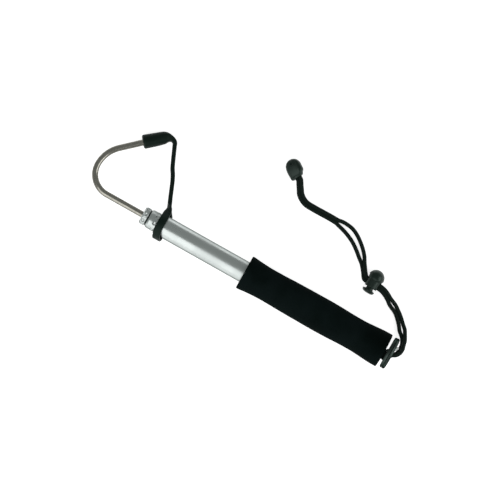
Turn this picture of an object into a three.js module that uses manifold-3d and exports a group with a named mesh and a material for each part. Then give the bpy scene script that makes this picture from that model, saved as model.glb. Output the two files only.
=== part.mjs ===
// A telescopic landing gaff, closed, lying on its side on a table.
// Two tubes slide inside a handle tube, and the inner one carries a round-wire hook.
// A rubber guard covers the hook's point, and a corded lanyard hangs from a ring at the butt.
//
// Lengths are in millimetres. While the pieces are made, X runs along the tubes from the handle
// tube's mouth to the butt, Y points to the side where the hook opens, and Z points up.
// The tubes' common axis is Y = 0 and Z = 0. At the end all is moved to the table's frame.

import * as THREE from 'three';
import { mergeVertices } from 'three/addons/utils/BufferGeometryUtils.js';
import Module from 'manifold-3d';

const wasm = await Module();
wasm.setup();

// Clearances
const fitGap = 0.3;
const slideGap = 0.15;
const cutOverrun = 2;

// Handle tube and its grip
const outerTubeDiameter = 22.2;
const outerTubeWall = 1;
const outerTubeLength = 254.7;
const gripLength = 160.3;
const gripOverhang = 0.5;
const gripFlareDiameter = 36.1;
const gripWaistDiameter = 33;
const gripCorner = 1.8;

// Sliding tubes
const middleTubeDiameter = 17.6;
const middleTubeWall = 0.9;
const middleRearRoom = 8.1;
const innerTubeDiameter = 13.6;
const innerTubeWall = 0.8;
const innerRearRoom = 20.8;

// Bushes and punched collars
const bushFlange = 1;
const mouthBushLength = 14;
const middleMouthBushLength = 12.6;
const middleMouthFlangeDiameter = 17;
const stopBushLength = 12;
const stopBushLip = 1.2;
const middleCollarDiameter = 19.4;
const middleCollarLength = 9.7;
const middleCollarChamfer = 1.5;
const ferruleDiameter = 17.8;
const ferruleLength = 5.7;
const ferruleWall = 1.5;
const ferruleChamfer = 1.2;
const dimpleDiameter = 2.6;
const dimpleDepth = 0.45;
const dimpleCount = 8;
const collarDimpleSetback = 2.7;
const ferruleDimpleSetback = 2.9;

// Butt plug, eye bolt and nut
const plugLength = 15;
const plugFlange = 3;
const eyeWire = 3;
const eyeHole = 9.2;
const eyeNeck = 0.7;
const eyeReach = 7.1;
const eyeTurnDegrees = 40;
const eyeLift = 0.5;
const nutAcrossFlats = 6.4;
const nutThickness = 2.6;
const boltEnd = 1.5;

// Split ring, standing in the eye
const ringDiameter = 33;
const ringCoilThickness = 2.2;
const ringWireHeight = 2.4;
const ringGroove = 0.35;
const ringOffset = 0.8;
const ringLeanDegrees = 2.5;

// Hook
const hookWire = 6;
const hookShankFree = 41.3;
const hookShankSeat = 17.6;
const hookLowerRadius = 22.8;
const hookUpperRadius = 33.2;
const hookUpperDegrees = 47;
const hookStraight = 44.3;
const hookPointLength = 9;
const hookPointTip = 0.4;
const hookPlugLength = 14.8;

// Tip guard
const guardFromBend = 24.7;
const guardLength = 24;
const guardMouthDiameter = 13.8;
const guardEndDiameter = 12.2;
const guardCorner = 0.8;

// Rubber band that ties the guard to the handle tube
const bandWidth = 7.8;
const bandThickness = 1.9;
const bandApexX = 0.1;
const bandApexY = 21.9;
const bandLoopX = 2.2;

// Lanyard
const cordDiameter = 3.5;
const strandPitch = 3.8;
const lockX = -43;
const lockY = 53.4;
const lockTurnDegrees = -3;
const lockBallDiameter = 15;
const lockBarrelDiameter = 13.6;
const lockBallReach = 7.1;
const lockRim = 5;
const lockBore = 9.3;
const lockBoreDepth = 10.6;
const plungerDiameter = 8.6;
const plungerFlangeDiameter = 13;
const plungerFlange = 3.8;
const plungerTravel = 2.2;
const plungerHead = 5.4;
const springDiameter = 6.4;
const springWire = 0.6;
const springTurns = 4;
const cordEndX = -168.1;
const cordEndY = 113.9;
const cordEndHeight = 5.7;
const cordEndLength = 21.9;
const cordEndWidth = 16;
const cordEndThickness = 10;
const cordEndHeadingDegrees = -44.6;
const cordEndRollDegrees = 25;
const cordEndSeat = 11.5;
const cordEndShift = 1.4;

// Facets
const tubeSides = 32;
const wireSides = 12;
const smallSides = 20;

const radians = THREE.MathUtils.degToRad;
const outerRadius = outerTubeDiameter / 2;
const outerBore = outerRadius - outerTubeWall;
const middleRadius = middleTubeDiameter / 2;
const middleBore = middleRadius - middleTubeWall;
const innerRadius = innerTubeDiameter / 2;
const innerBore = innerRadius - innerTubeWall;

// Places along the tubes, from the handle tube's mouth: the butt first, then what slides
const plugFlangeFront = outerTubeLength + fitGap;
const plugFront = plugFlangeFront - plugLength;
const plugRear = plugFlangeFront + plugFlange;
const gripRear = plugRear + gripOverhang;
const gripStart = gripRear - gripLength;
const nutFront = plugFront - fitGap - nutThickness;
const shankFront = nutFront - boltEnd;
const mouthFlangeFront = -fitGap - bushFlange;
const middleFront = mouthFlangeFront - fitGap - middleCollarLength;
const middleRear = shankFront - middleRearRoom - stopBushLip - fitGap;
const middleFlangeRear = middleFront - fitGap;
const ferruleRear = middleFlangeRear - bushFlange - fitGap;
const ferruleFront = ferruleRear - ferruleLength;
const innerFront = ferruleFront + ferruleWall + fitGap;
const innerRear = middleRear - innerRearRoom - stopBushLip;
const bendX = ferruleFront - hookShankFree;

// Merged corners, no flat triangles, faces pointing out
function tidy(geometry) {
  const bare = geometry.clone();
  bare.deleteAttribute('normal');
  bare.deleteAttribute('uv');
  const merged = mergeVertices(bare, 1e-4);
  const place = merged.attributes.position;
  const corners = [];
  for (let i = 0; i < merged.index.count; i += 3) {
    const [a, b, c] = [0, 1, 2].map((k) => merged.index.getX(i + k));
    if (a !== b && b !== c && c !== a) corners.push(a, b, c);
  }
  const at = (i) => new THREE.Vector3().fromBufferAttribute(place, i);
  let volume = 0;
  for (let i = 0; i < corners.length; i += 3) {
    volume += at(corners[i]).dot(at(corners[i + 1]).cross(at(corners[i + 2])));
  }
  if (volume < 0) corners.reverse();
  merged.setIndex(corners);
  return merged;
}

function solid(geometry) {
  const shape = tidy(geometry);
  return new wasm.Manifold(new wasm.Mesh({
    numProp: 3,
    vertProperties: new Float32Array(shape.attributes.position.array),
    triVerts: new Uint32Array(shape.index.array),
  }));
}

function geometryOf(body) {
  const mesh = body.getMesh();
  const geometry = new THREE.BufferGeometry();
  geometry.setAttribute('position', new THREE.BufferAttribute(mesh.vertProperties, 3));
  geometry.setIndex(new THREE.BufferAttribute(mesh.triVerts, 1));
  return geometry;
}

// A turned piece about the X axis: the outline is a closed loop of [x, radius]
function turned(outline, sides = tubeSides) {
  const points = [...outline, outline[0]].map(([x, r]) => new THREE.Vector2(r, x));
  return new THREE.LatheGeometry(points, sides).rotateZ(-Math.PI / 2);
}

// A plain sleeve about the X axis
function sleeve(from, to, inside, outside, sides = tubeSides) {
  return turned([[from, inside], [from, outside], [to, outside], [to, inside]], sides);
}

// A box between two corners
function block(low, high) {
  const size = new THREE.Vector3(...high).sub(new THREE.Vector3(...low));
  const centre = new THREE.Vector3(...high).add(new THREE.Vector3(...low)).divideScalar(2);
  return new THREE.BoxGeometry(size.x, size.y, size.z).translate(centre.x, centre.y, centre.z);
}

// A curve through chosen points, with one step of the tube from each point to the next
class ChosenPath extends THREE.Curve {
  constructor(points) {
    super();
    this.spline = new THREE.CatmullRomCurve3(points);
  }

  getPoint(t, target) {
    return this.spline.getPoint(t, target);
  }

  getPointAt(u, target) {
    return this.spline.getPoint(u, target);
  }

  getTangentAt(u, target) {
    return this.getTangent(u, target);
  }
}

// A round wire or cord through a list of points
function wireThrough(points, diameter, sides) {
  const section = new THREE.Shape();
  const corner = (k) => {
    const turn = ((k + 0.5) * 2 * Math.PI) / sides;
    return [Math.cos(turn) * diameter / 2, Math.sin(turn) * diameter / 2];
  };
  section.moveTo(...corner(0));
  for (let k = 1; k < sides; k += 1) section.lineTo(...corner(k));
  section.closePath();
  return new THREE.ExtrudeGeometry(section, {
    steps: points.length - 1,
    extrudePath: new ChosenPath(points),
    curveSegments: 1,
    bevelEnabled: false,
  });
}

// A closed skin over a row of rings that have the same number of corners
function loft(rings) {
  const count = rings[0].length;
  const corners = rings.flat();
  const faces = [];
  for (let i = 0; i + 1 < rings.length; i += 1) {
    for (let k = 0; k < count; k += 1) {
      const [a, b] = [i * count + k, i * count + ((k + 1) % count)];
      faces.push(a, b, b + count, a, b + count, a + count);
    }
  }
  const last = (rings.length - 1) * count;
  for (let k = 1; k + 1 < count; k += 1) {
    faces.push(0, k + 1, k);
    faces.push(last, last + k, last + k + 1);
  }
  const geometry = new THREE.BufferGeometry();
  geometry.setAttribute('position', new THREE.Float32BufferAttribute(corners.flatMap((p) => p.toArray()), 3));
  geometry.setIndex(faces);
  return geometry;
}

// Punched dimples round a collar
function dimpled(body, x, radius) {
  const dimple = new THREE.IcosahedronGeometry(dimpleDiameter / 2, 1);
  let result = body;
  for (let k = 0; k < dimpleCount; k += 1) {
    const turn = ((k + 0.25) * 2 * Math.PI) / dimpleCount;
    const out = radius + dimpleDiameter / 2 - dimpleDepth;
    const cut = dimple.clone().translate(x, out * Math.sin(turn), out * Math.cos(turn));
    result = result.subtract(solid(cut));
  }
  return result;
}

// Colours
const satinAluminium = { color: 0xc9cfcd, roughness: 0.35, metalness: 0.9 };
const polishedSteel = { color: 0x8a8680, roughness: 0.25, metalness: 1 };
const darkSteel = { color: 0x3c3e42, roughness: 0.35, metalness: 1 };
const brightSteel = { color: 0xb5b8b8, roughness: 0.3, metalness: 1 };
const blackRubber = { color: 0x141816, roughness: 0.75, metalness: 0 };
const blackFoam = { color: 0x101412, roughness: 0.95, metalness: 0 };
const blackPlastic = { color: 0x1b201e, roughness: 0.4, metalness: 0 };
const blackCord = { color: 0x0c100e, roughness: 0.85, metalness: 0 };
const paleNylon = { color: 0xd9d8cf, roughness: 0.5, metalness: 0 };

const gaff = new THREE.Group();
const hookSide = new THREE.Group();
const lanyard = new THREE.Group();

function place(group, name, shape, finish) {
  const geometry = shape.isBufferGeometry ? tidy(shape) : geometryOf(shape);
  geometry.computeVertexNormals();
  const mesh = new THREE.Mesh(geometry, new THREE.MeshStandardMaterial(finish));
  mesh.name = name;
  group.add(mesh);
  return mesh;
}

// Handle tube
place(gaff, 'outer_tube', sleeve(0, outerTubeLength, outerBore, outerRadius), satinAluminium);

// Guide bush pressed into the handle tube's mouth
const middleRun = middleRadius + slideGap;
place(gaff, 'outer_mouth_bush', turned([
  [mouthFlangeFront, middleRun],
  [mouthFlangeFront, outerRadius],
  [-fitGap, outerRadius],
  [-fitGap, outerBore - slideGap],
  [mouthBushLength, outerBore - slideGap],
  [mouthBushLength, middleRun],
]), blackPlastic);

// Foam grip: the second share is 0 at the waists and 1 at the flares
const gripSwellShares = [
  [0.016, 1], [0.055, 0.55], [0.1, 0.18], [0.15, 0.02], [0.2, 0], [0.25, 0.06], [0.31, 0.27],
  [0.38, 0.42], [0.48, 0.5], [0.57, 0.55], [0.64, 0.4], [0.7, 0.12], [0.76, 0], [0.82, 0.02],
  [0.865, 0.33], [0.91, 0.68], [0.95, 0.95], [0.98, 1],
];
const gripFlare = gripFlareDiameter / 2;
const gripWaist = gripWaistDiameter / 2;
const cornerShare = 0.3;
const gripOutline = gripSwellShares.map(([along, swell]) => [
  gripStart + along * gripLength,
  gripWaist + swell * (gripFlare - gripWaist),
]);
place(gaff, 'foam_grip', turned([
  [gripStart, outerRadius + fitGap],
  [gripStart, gripFlare - gripCorner],
  [gripStart + cornerShare * gripCorner, gripFlare - cornerShare * gripCorner],
  ...gripOutline,
  [gripRear, gripFlare],
  [gripRear, outerRadius + fitGap],
]), blackFoam);

// Butt plug
const boltRun = eyeWire / 2 + slideGap;
place(gaff, 'butt_plug', turned([
  [plugFront, boltRun],
  [plugFront, outerBore - slideGap],
  [plugFlangeFront, outerBore - slideGap],
  [plugFlangeFront, outerRadius],
  [plugRear, outerRadius],
  [plugRear, boltRun],
]), blackPlastic);

// Eye bolt: its neck is bent aside and up, and the eye stands upright
const eyeRadius = (eyeHole + eyeWire) / 2;
const eyeTurn = radians(eyeTurnDegrees);
const neckX = gripRear + eyeNeck;
const eyeX = neckX + eyeReach * Math.cos(eyeTurn);
const eyeY = eyeReach * Math.sin(eyeTurn);
const shank = turned([
  [shankFront, 0],
  [shankFront, eyeWire / 2],
  [neckX, eyeWire / 2],
  [neckX, 0],
], wireSides);
const elbow = new THREE.SphereGeometry(eyeWire / 2, wireSides, wireSides / 2).translate(neckX, 0, 0);
const eye = new THREE.TorusGeometry(eyeRadius, eyeWire / 2, wireSides - 2, wireSides * 2)
  .rotateX(Math.PI / 2)
  .rotateZ(eyeTurn)
  .translate(eyeX, eyeY, eyeLift);
const neckLength = Math.hypot(eyeReach, eyeLift) - eyeRadius;
const neck = turned([[0, 0], [0, eyeWire / 2], [neckLength, eyeWire / 2], [neckLength, 0]], wireSides)
  .rotateY(-Math.atan2(eyeLift, eyeReach))
  .rotateZ(eyeTurn)
  .translate(neckX, 0, 0);
place(gaff, 'eye_bolt', solid(shank).add(solid(elbow)).add(solid(neck)).add(solid(eye)), brightSteel);

// Hexagon nut on the bolt, against the plug's inner end
const nutBody = new THREE.CylinderGeometry(
  nutAcrossFlats / Math.sqrt(3), nutAcrossFlats / Math.sqrt(3), nutThickness, 6,
).rotateZ(Math.PI / 2).translate(nutFront + nutThickness / 2, 0, 0);
const nutHole = turned([
  [nutFront - cutOverrun, 0],
  [nutFront - cutOverrun, boltRun],
  [nutFront + nutThickness + cutOverrun, boltRun],
  [nutFront + nutThickness + cutOverrun, 0],
], wireSides);
place(gaff, 'eye_nut', solid(nutBody).subtract(solid(nutHole)), brightSteel);

// Split ring: two coils with a groove between them, held by the eye
const ringRadius = (ringDiameter - ringWireHeight) / 2;
const ringX = eyeX - fitGap;
const ringEyeRise = ringRadius - Math.sqrt(ringRadius ** 2 - (eyeY - ringOffset) ** 2);
const ringSectionShares = [
  [-1, -0.4], [-0.7, -1], [-0.25, -1], [0, -1], [0.25, -1], [0.7, -1], [1, -0.4],
  [1, 0.4], [0.7, 1], [0.25, 1], [0, 1], [-0.25, 1], [-0.7, 1], [-1, 0.4],
];
const ringOutline = ringSectionShares.map(([across, up]) => {
  const grooved = across === 0 ? ringGroove : 0;
  return [across * ringCoilThickness, ringRadius + up * (ringWireHeight / 2 - grooved)];
});
const splitRing = turned(ringOutline, tubeSides)
  .translate(0, 0, ringRadius)
  .rotateY(-radians(ringLeanDegrees))
  .translate(ringX, ringOffset, -ringEyeRise);
place(gaff, 'split_ring', splitRing, darkSteel);

// Middle tube with its collar, mouth bush and stop bush
place(gaff, 'middle_tube', sleeve(middleFront, middleRear, middleBore, middleRadius), satinAluminium);

const collarRadius = middleCollarDiameter / 2;
const collarRear = middleFront + middleCollarLength;
const middleCollar = turned([
  [middleFront, middleRun],
  [middleFront, collarRadius - middleCollarChamfer / 2],
  [middleFront + middleCollarChamfer, collarRadius],
  [collarRear, collarRadius],
  [collarRear, middleRun],
]);
const collarMarksX = collarRear - collarDimpleSetback;
place(gaff, 'middle_collar', dimpled(solid(middleCollar), collarMarksX, collarRadius), satinAluminium);

const innerRun = innerRadius + slideGap;
const middleBushRear = middleFlangeRear + middleMouthBushLength;
place(gaff, 'middle_mouth_bush', turned([
  [middleFlangeRear - bushFlange, innerRun],
  [middleFlangeRear - bushFlange, middleMouthFlangeDiameter / 2],
  [middleFlangeRear, middleMouthFlangeDiameter / 2],
  [middleFlangeRear, middleBore - slideGap],
  [middleBushRear, middleBore - slideGap],
  [middleBushRear, innerRun],
]), blackPlastic);

// A stop bush sits round a sliding tube's rear end, with a lip behind it
function stopBush(tubeRear, tubeRadius, tubeBore, housingBore) {
  const lipFront = tubeRear + fitGap;
  return turned([
    [lipFront - stopBushLength, tubeRadius + slideGap],
    [lipFront - stopBushLength, housingBore - slideGap],
    [lipFront + stopBushLip, housingBore - slideGap],
    [lipFront + stopBushLip, tubeBore],
    [lipFront, tubeBore],
    [lipFront, tubeRadius + slideGap],
  ]);
}
place(gaff, 'middle_stop_bush', stopBush(middleRear, middleRadius, middleBore, outerBore), paleNylon);
place(gaff, 'inner_stop_bush', stopBush(innerRear, innerRadius, innerBore, middleBore), paleNylon);

// Inner tube, punched ferrule and the plug that grips the hook's shank
place(gaff, 'inner_tube', sleeve(innerFront, innerRear, innerBore, innerRadius), satinAluminium);

const hookRun = hookWire / 2 + slideGap;
const ferruleRadius = ferruleDiameter / 2;
const ferrule = turned([
  [ferruleFront, hookRun],
  [ferruleFront, ferruleRadius - ferruleChamfer],
  [ferruleFront + ferruleChamfer, ferruleRadius],
  [ferruleRear, ferruleRadius],
  [ferruleRear, innerRun],
  [ferruleFront + ferruleWall, innerRun],
  [ferruleFront + ferruleWall, hookRun],
]);
const ferruleMarksX = ferruleRear - ferruleDimpleSetback;
place(gaff, 'hook_ferrule', dimpled(solid(ferrule), ferruleMarksX, ferruleRadius), satinAluminium);
const hookPlugRear = innerFront + hookPlugLength;
place(gaff, 'hook_plug', sleeve(innerFront, hookPlugRear, hookRun, innerBore - slideGap), paleNylon);

// Hook: a straight shank, a lower bend, a wider upper bend and a straight, sharpened end
const upperTurn = radians(hookUpperDegrees);
const quarterSteps = 10;
const upperSteps = 7;
const upperCentreX = bendX - hookLowerRadius + hookUpperRadius;
const heading = new THREE.Vector3(Math.sin(upperTurn), Math.cos(upperTurn), 0);
const across = new THREE.Vector3(-heading.y, heading.x, 0);
const bendEnd = new THREE.Vector3(
  upperCentreX - hookUpperRadius * Math.cos(upperTurn),
  hookLowerRadius + hookUpperRadius * Math.sin(upperTurn),
  0,
);
const shankEnd = ferruleFront + hookShankSeat;
const hookPoints = [new THREE.Vector3(shankEnd, 0, 0)];
for (const share of [0.5, 0.9]) {
  hookPoints.push(new THREE.Vector3(THREE.MathUtils.lerp(shankEnd, bendX, share), 0, 0));
}
for (let k = 0; k <= quarterSteps; k += 1) {
  const turn = (k / quarterSteps) * (Math.PI / 2);
  hookPoints.push(new THREE.Vector3(
    bendX - hookLowerRadius * Math.sin(turn),
    hookLowerRadius * (1 - Math.cos(turn)),
    0,
  ));
}
for (let k = 1; k <= upperSteps; k += 1) {
  const turn = (k / upperSteps) * upperTurn;
  hookPoints.push(new THREE.Vector3(
    upperCentreX - hookUpperRadius * Math.cos(turn),
    hookLowerRadius + hookUpperRadius * Math.sin(turn),
    0,
  ));
}
const coneStart = hookStraight - hookPointLength;
for (const share of [0.15, 0.6, 1]) {
  hookPoints.push(bendEnd.clone().addScaledVector(heading, share * coneStart));
}
const hookPoint = turned([
  [-hookWire / 2, 0],
  [-hookWire / 2, hookWire / 2],
  [0, hookWire / 2],
  [hookPointLength, hookPointTip / 2],
  [hookPointLength, 0],
], wireSides).rotateZ(Math.PI / 2 - upperTurn);
const coneBase = hookPoints[hookPoints.length - 1];
hookPoint.translate(coneBase.x, coneBase.y, 0);
const hookBody = solid(wireThrough(hookPoints, hookWire, wireSides));
place(hookSide, 'hook', hookBody.add(solid(hookPoint)), polishedSteel);

// Tip guard: rings along a spine that bends over into the band, in shares of the guard's length
const guardMouth = bendEnd.clone().addScaledVector(heading, guardFromBend);
const mouthHalf = guardMouthDiameter / 2;
const endHalf = guardEndDiameter / 2;
const pairHalf = bandThickness + fitGap / 2;
const tailSpineShares = [
  [0, 0.02, 0, 0], [0.03, 0.02, 0, 0], [0.5, 0, 0.35, 0], [0.96, -0.017, 1, 0], [1.1, -0.06, 1, 0.34],
  [1.2, -0.126, 1, 0.7], [1.264, -0.209, 1, 0.9], [1.29, -0.317, 1, 1], [1.261, -0.409, 1, 1],
];
const spine = tailSpineShares.map(([along, aside]) => guardMouth.clone()
  .addScaledVector(heading, along * guardLength)
  .addScaledVector(across, aside * guardLength));
const guardSides = 16;
const guardRings = tailSpineShares.map(([, , toEnd, toBand], i) => {
  const before = spine[Math.max(i - 1, 0)];
  const after = spine[Math.min(i + 1, spine.length - 1)];
  const side = after.clone().sub(before).normalize().cross(new THREE.Vector3(0, 0, 1));
  const round = THREE.MathUtils.lerp(mouthHalf, endHalf, toEnd) - (i === 0 ? guardCorner : 0);
  const halfWidth = THREE.MathUtils.lerp(round, pairHalf, toBand);
  const halfHeight = THREE.MathUtils.lerp(round, bandWidth / 2, toBand);
  return Array.from({ length: guardSides }, (_, k) => {
    const turn = (k * 2 * Math.PI) / guardSides;
    return spine[i].clone()
      .addScaledVector(side, halfWidth * Math.cos(turn))
      .add(new THREE.Vector3(0, 0, halfHeight * Math.sin(turn)));
  });
});
const guardBoreDepth = hookStraight - guardFromBend + fitGap;
const guardBoreRadius = hookWire / 2 + fitGap;
const guardBore = turned([
  [-cutOverrun, 0],
  [-cutOverrun, guardBoreRadius],
  [guardBoreDepth, guardBoreRadius],
  [guardBoreDepth, 0],
], wireSides).rotateZ(Math.PI / 2 - upperTurn).translate(guardMouth.x, guardMouth.y, 0);
place(hookSide, 'tip_guard', solid(loft(guardRings)).subtract(solid(guardBore)), blackRubber);

// Band: two layers run from the guard to an apex, twist a quarter turn and circle the handle tube
const up = new THREE.Vector3(0, 0, 1);
const alongTubes = new THREE.Vector3(1, 0, 0);
const tail = spine[spine.length - 1];
const tailStep = tail.clone().sub(spine[spine.length - 2]).normalize();
const bandStart = tail.clone().addScaledVector(tailStep, fitGap);
const apex = new THREE.Vector3(bandApexX, bandApexY, 0);
const bandRun = apex.clone().sub(bandStart);
const bandSide = bandRun.clone().normalize().cross(up).negate();
const bandBowShares = [
  [0, 0], [0.12, -0.003], [0.24, -0.005], [0.39, -0.004], [0.48, 0.008], [0.58, 0.013],
  [0.73, 0.009], [0.87, 0.003],
];
const layerPitch = bandThickness + fitGap;
const loopRadius = outerRadius + fitGap + bandThickness / 2;
const tangentTurn = Math.acos(loopRadius / bandApexY);

// From the apex to the tube: how far along, how far twisted, and each layer's shift in band widths
const bandForkShares = [
  [0, 0, -0.414, -0.124], [0.23, 0.28, -0.183, 0], [0.47, 0.61, -0.032, 0.136], [0.71, 0.87, 0, 0.385],
];

// Round the tube: how far along, the shift in band widths, and the slack in band thicknesses
const bandLoopShares = [
  [0, 0, 0], [0.06, 0, 0], [0.12, 0, 0], [0.18, 0, 0], [0.24, 0, 0.05], [0.3, 0.04, 0.15], [0.36, 0.13, 0.35],
  [0.42, 0.22, 0.65], [0.48, 0.32, 0.85], [0.54, 0.43, 0.85], [0.6, 0.52, 0.6], [0.66, 0.54, 0.3],
  [0.72, 0.52, 0.1], [0.78, 0.48, 0], [0.84, 0.45, 0], [0.9, 0.42, 0], [0.95, 0.4, 0], [1, 0.4, 0],
];
const loopStations = bandLoopShares.map(([along, shift, slack]) => {
  const turn = THREE.MathUtils.lerp(tangentTurn, 2 * Math.PI - tangentTurn, along);
  const reach = loopRadius + slack * bandThickness;
  const x = bandLoopX + shift * bandWidth;
  return { point: new THREE.Vector3(x, reach * Math.cos(turn), reach * Math.sin(turn)), twist: 1 };
});

// The straight part of one layer: side is -1 for the layer in front and 1 for the one behind
function strapLayer(side) {
  return bandBowShares.map(([along, bow]) => ({
    point: bandStart.clone()
      .addScaledVector(bandRun, along)
      .addScaledVector(bandSide, bow * bandRun.length() + (side * layerPitch) / 2),
    twist: 0,
  }));
}

// From the apex to the tube, where the width turns from upright to along the tubes
function forkLayer(side) {
  const finish = side < 0 ? loopStations[0].point : loopStations[loopStations.length - 1].point;
  return bandForkShares.map(([along, twist, frontShift, backShift]) => ({
    point: new THREE.Vector3(
      bandLoopX + (side < 0 ? frontShift : backShift) * bandWidth,
      THREE.MathUtils.lerp(bandApexY, finish.y, along),
      finish.z * along,
    ),
    twist,
  }));
}

const bandStations = [
  ...strapLayer(-1),
  ...forkLayer(-1),
  ...loopStations,
  ...forkLayer(1).reverse(),
  ...strapLayer(1).reverse(),
];
const bandRings = bandStations.map(({ point, twist }, i) => {
  const before = bandStations[Math.max(i - 1, 0)].point;
  const after = bandStations[Math.min(i + 1, bandStations.length - 1)].point;
  const along = after.clone().sub(before).normalize();
  const turn = (twist * Math.PI) / 2;
  const width = up.clone().multiplyScalar(Math.cos(turn)).addScaledVector(alongTubes, Math.sin(turn));
  width.addScaledVector(along, -width.dot(along)).normalize();
  const out = along.clone().cross(width);
  const half = [bandWidth / 2, bandThickness / 2];
  return [[1, 1], [-1, 1], [-1, -1], [1, -1]].map(([w, o]) => point.clone()
    .addScaledVector(width, w * half[0])
    .addScaledVector(out, o * half[1]));
});
place(hookSide, 'guard_band', loft(bandRings), blackRubber);

// The hook's side is rolled until the guard rests on the table beside the grip
const guardRestY = spine[3].y;
const hookRoll = Math.asin((gripFlare - endHalf) / guardRestY);
hookSide.rotation.x = -hookRoll;
gaff.add(hookSide);
gaff.updateMatrixWorld(true);
const gaffBox = new THREE.Box3().setFromObject(gaff, true);
const tableZ = gaffBox.min.z;

// Cord lock: a round-ended barrel with a slot for both strands and a sprung plunger
const slotHalfWidth = (strandPitch + cordDiameter) / 2 + fitGap;
const slotHalfHeight = cordDiameter / 2 + fitGap;
const ballRadius = lockBallDiameter / 2;
const barrelRadius = lockBarrelDiameter / 2;
const ballAngleShares = [-0.25, -0.12, 0, 0.15, 0.3, 0.45, 0.6, 0.75, 0.9];
const ballOutline = ballAngleShares.map((share) => [
  ballRadius * Math.cos((share * Math.PI) / 2),
  lockBallReach + ballRadius * Math.sin((share * Math.PI) / 2),
]);
function turnedUpright(outline) {
  return new THREE.LatheGeometry(outline.map(([r, y]) => new THREE.Vector2(r, y)), smallSides);
}
function slot(low, high) {
  const reach = ballRadius + cutOverrun;
  return solid(block([-reach, low, -slotHalfHeight], [reach, high, slotHalfHeight]));
}
const rimEdgeShare = 0.09;
const lockBody = turnedUpright([
  [0, lockBoreDepth],
  [lockBore / 2, lockBoreDepth],
  [lockBore / 2, -lockRim],
  [barrelRadius * (1 - rimEdgeShare), -lockRim],
  [barrelRadius, -lockRim * (1 - rimEdgeShare)],
  ...ballOutline,
  [0, lockBallReach + ballRadius],
]);
const lock = new THREE.Group();
lock.position.set(lockX, lockY, ballRadius);
lock.rotation.z = radians(lockTurnDegrees);
place(lock, 'cord_lock_body', solid(lockBody).subtract(slot(-slotHalfWidth, slotHalfWidth)), blackPlastic);

const flangeFace = -lockRim - plungerTravel - fitGap;
const flangeRadius = plungerFlangeDiameter / 2;
const flangeOutlineShares = [[0, 1], [0.5, 0.97], [0.85, 0.75], [0.97, 0.5], [1, 0.15]];
const plunger = turnedUpright([
  [0, flangeFace - plungerFlange],
  ...flangeOutlineShares.slice(1).map(([out, deep]) => [
    out * flangeRadius,
    flangeFace - deep * plungerFlange,
  ]),
  [plungerDiameter / 2, flangeFace],
  [plungerDiameter / 2, plungerHead],
  [0, plungerHead],
]);
const plungerSlot = slot(-slotHalfWidth - plungerTravel - fitGap, slotHalfWidth);
place(lock, 'cord_lock_plunger', solid(plunger).subtract(plungerSlot), blackPlastic);

const springSteps = 8;
const springStart = plungerHead + fitGap + springWire / 2;
const springEnd = lockBoreDepth - fitGap - springWire / 2;
const springPoints = Array.from({ length: springTurns * springSteps + 1 }, (_, k) => {
  const turn = (k / springSteps) * 2 * Math.PI;
  const share = k / (springTurns * springSteps);
  const reach = (springDiameter - springWire) / 2;
  return new THREE.Vector3(
    reach * Math.cos(turn),
    THREE.MathUtils.lerp(springStart, springEnd, share),
    reach * Math.sin(turn),
  );
});
place(lock, 'cord_lock_spring', wireThrough(springPoints, springWire, 5), brightSteel);
lanyard.add(lock);

// Cord end: an egg-shaped shell in two halves that closes on both ends of the cord
const eggShares = [
  [-0.5, 0], [-0.46, 0.42], [-0.37, 0.74], [-0.22, 0.96], [0, 1], [0.2, 0.9], [0.36, 0.79], [0.5, 0.73],
];
const eggOutline = eggShares.map(([along, out]) => new THREE.Vector2(
  (out * cordEndWidth) / 2,
  along * cordEndLength,
));
eggOutline.push(new THREE.Vector2(0, cordEndLength / 2));
const egg = solid(new THREE.LatheGeometry(eggOutline, smallSides)
  .rotateZ(-Math.PI / 2)
  .scale(1, 1, cordEndThickness / cordEndWidth));
const cordChannel = solid(block(
  [cordEndLength / 2 - cordEndSeat, cordEndShift - slotHalfWidth, -slotHalfHeight],
  [cordEndLength / 2 + cutOverrun, cordEndShift + slotHalfWidth, slotHalfHeight],
));
const shellBlock = (low, high) => solid(block(
  [-cordEndLength, -cordEndWidth, low],
  [cordEndLength, cordEndWidth, high],
));
const cordEnd = new THREE.Group();
cordEnd.position.set(cordEndX, cordEndY, cordEndHeight);
cordEnd.rotation.set(radians(cordEndRollDegrees), 0, radians(cordEndHeadingDegrees), 'ZYX');
const shell = egg.subtract(cordChannel);
place(cordEnd, 'cord_end_upper', shell.intersect(shellBlock(fitGap / 2, cordEndThickness)), blackPlastic);
place(cordEnd, 'cord_end_lower', shell.intersect(shellBlock(-cordEndThickness, -fitGap / 2)), blackPlastic);
lanyard.add(cordEnd);

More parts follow.
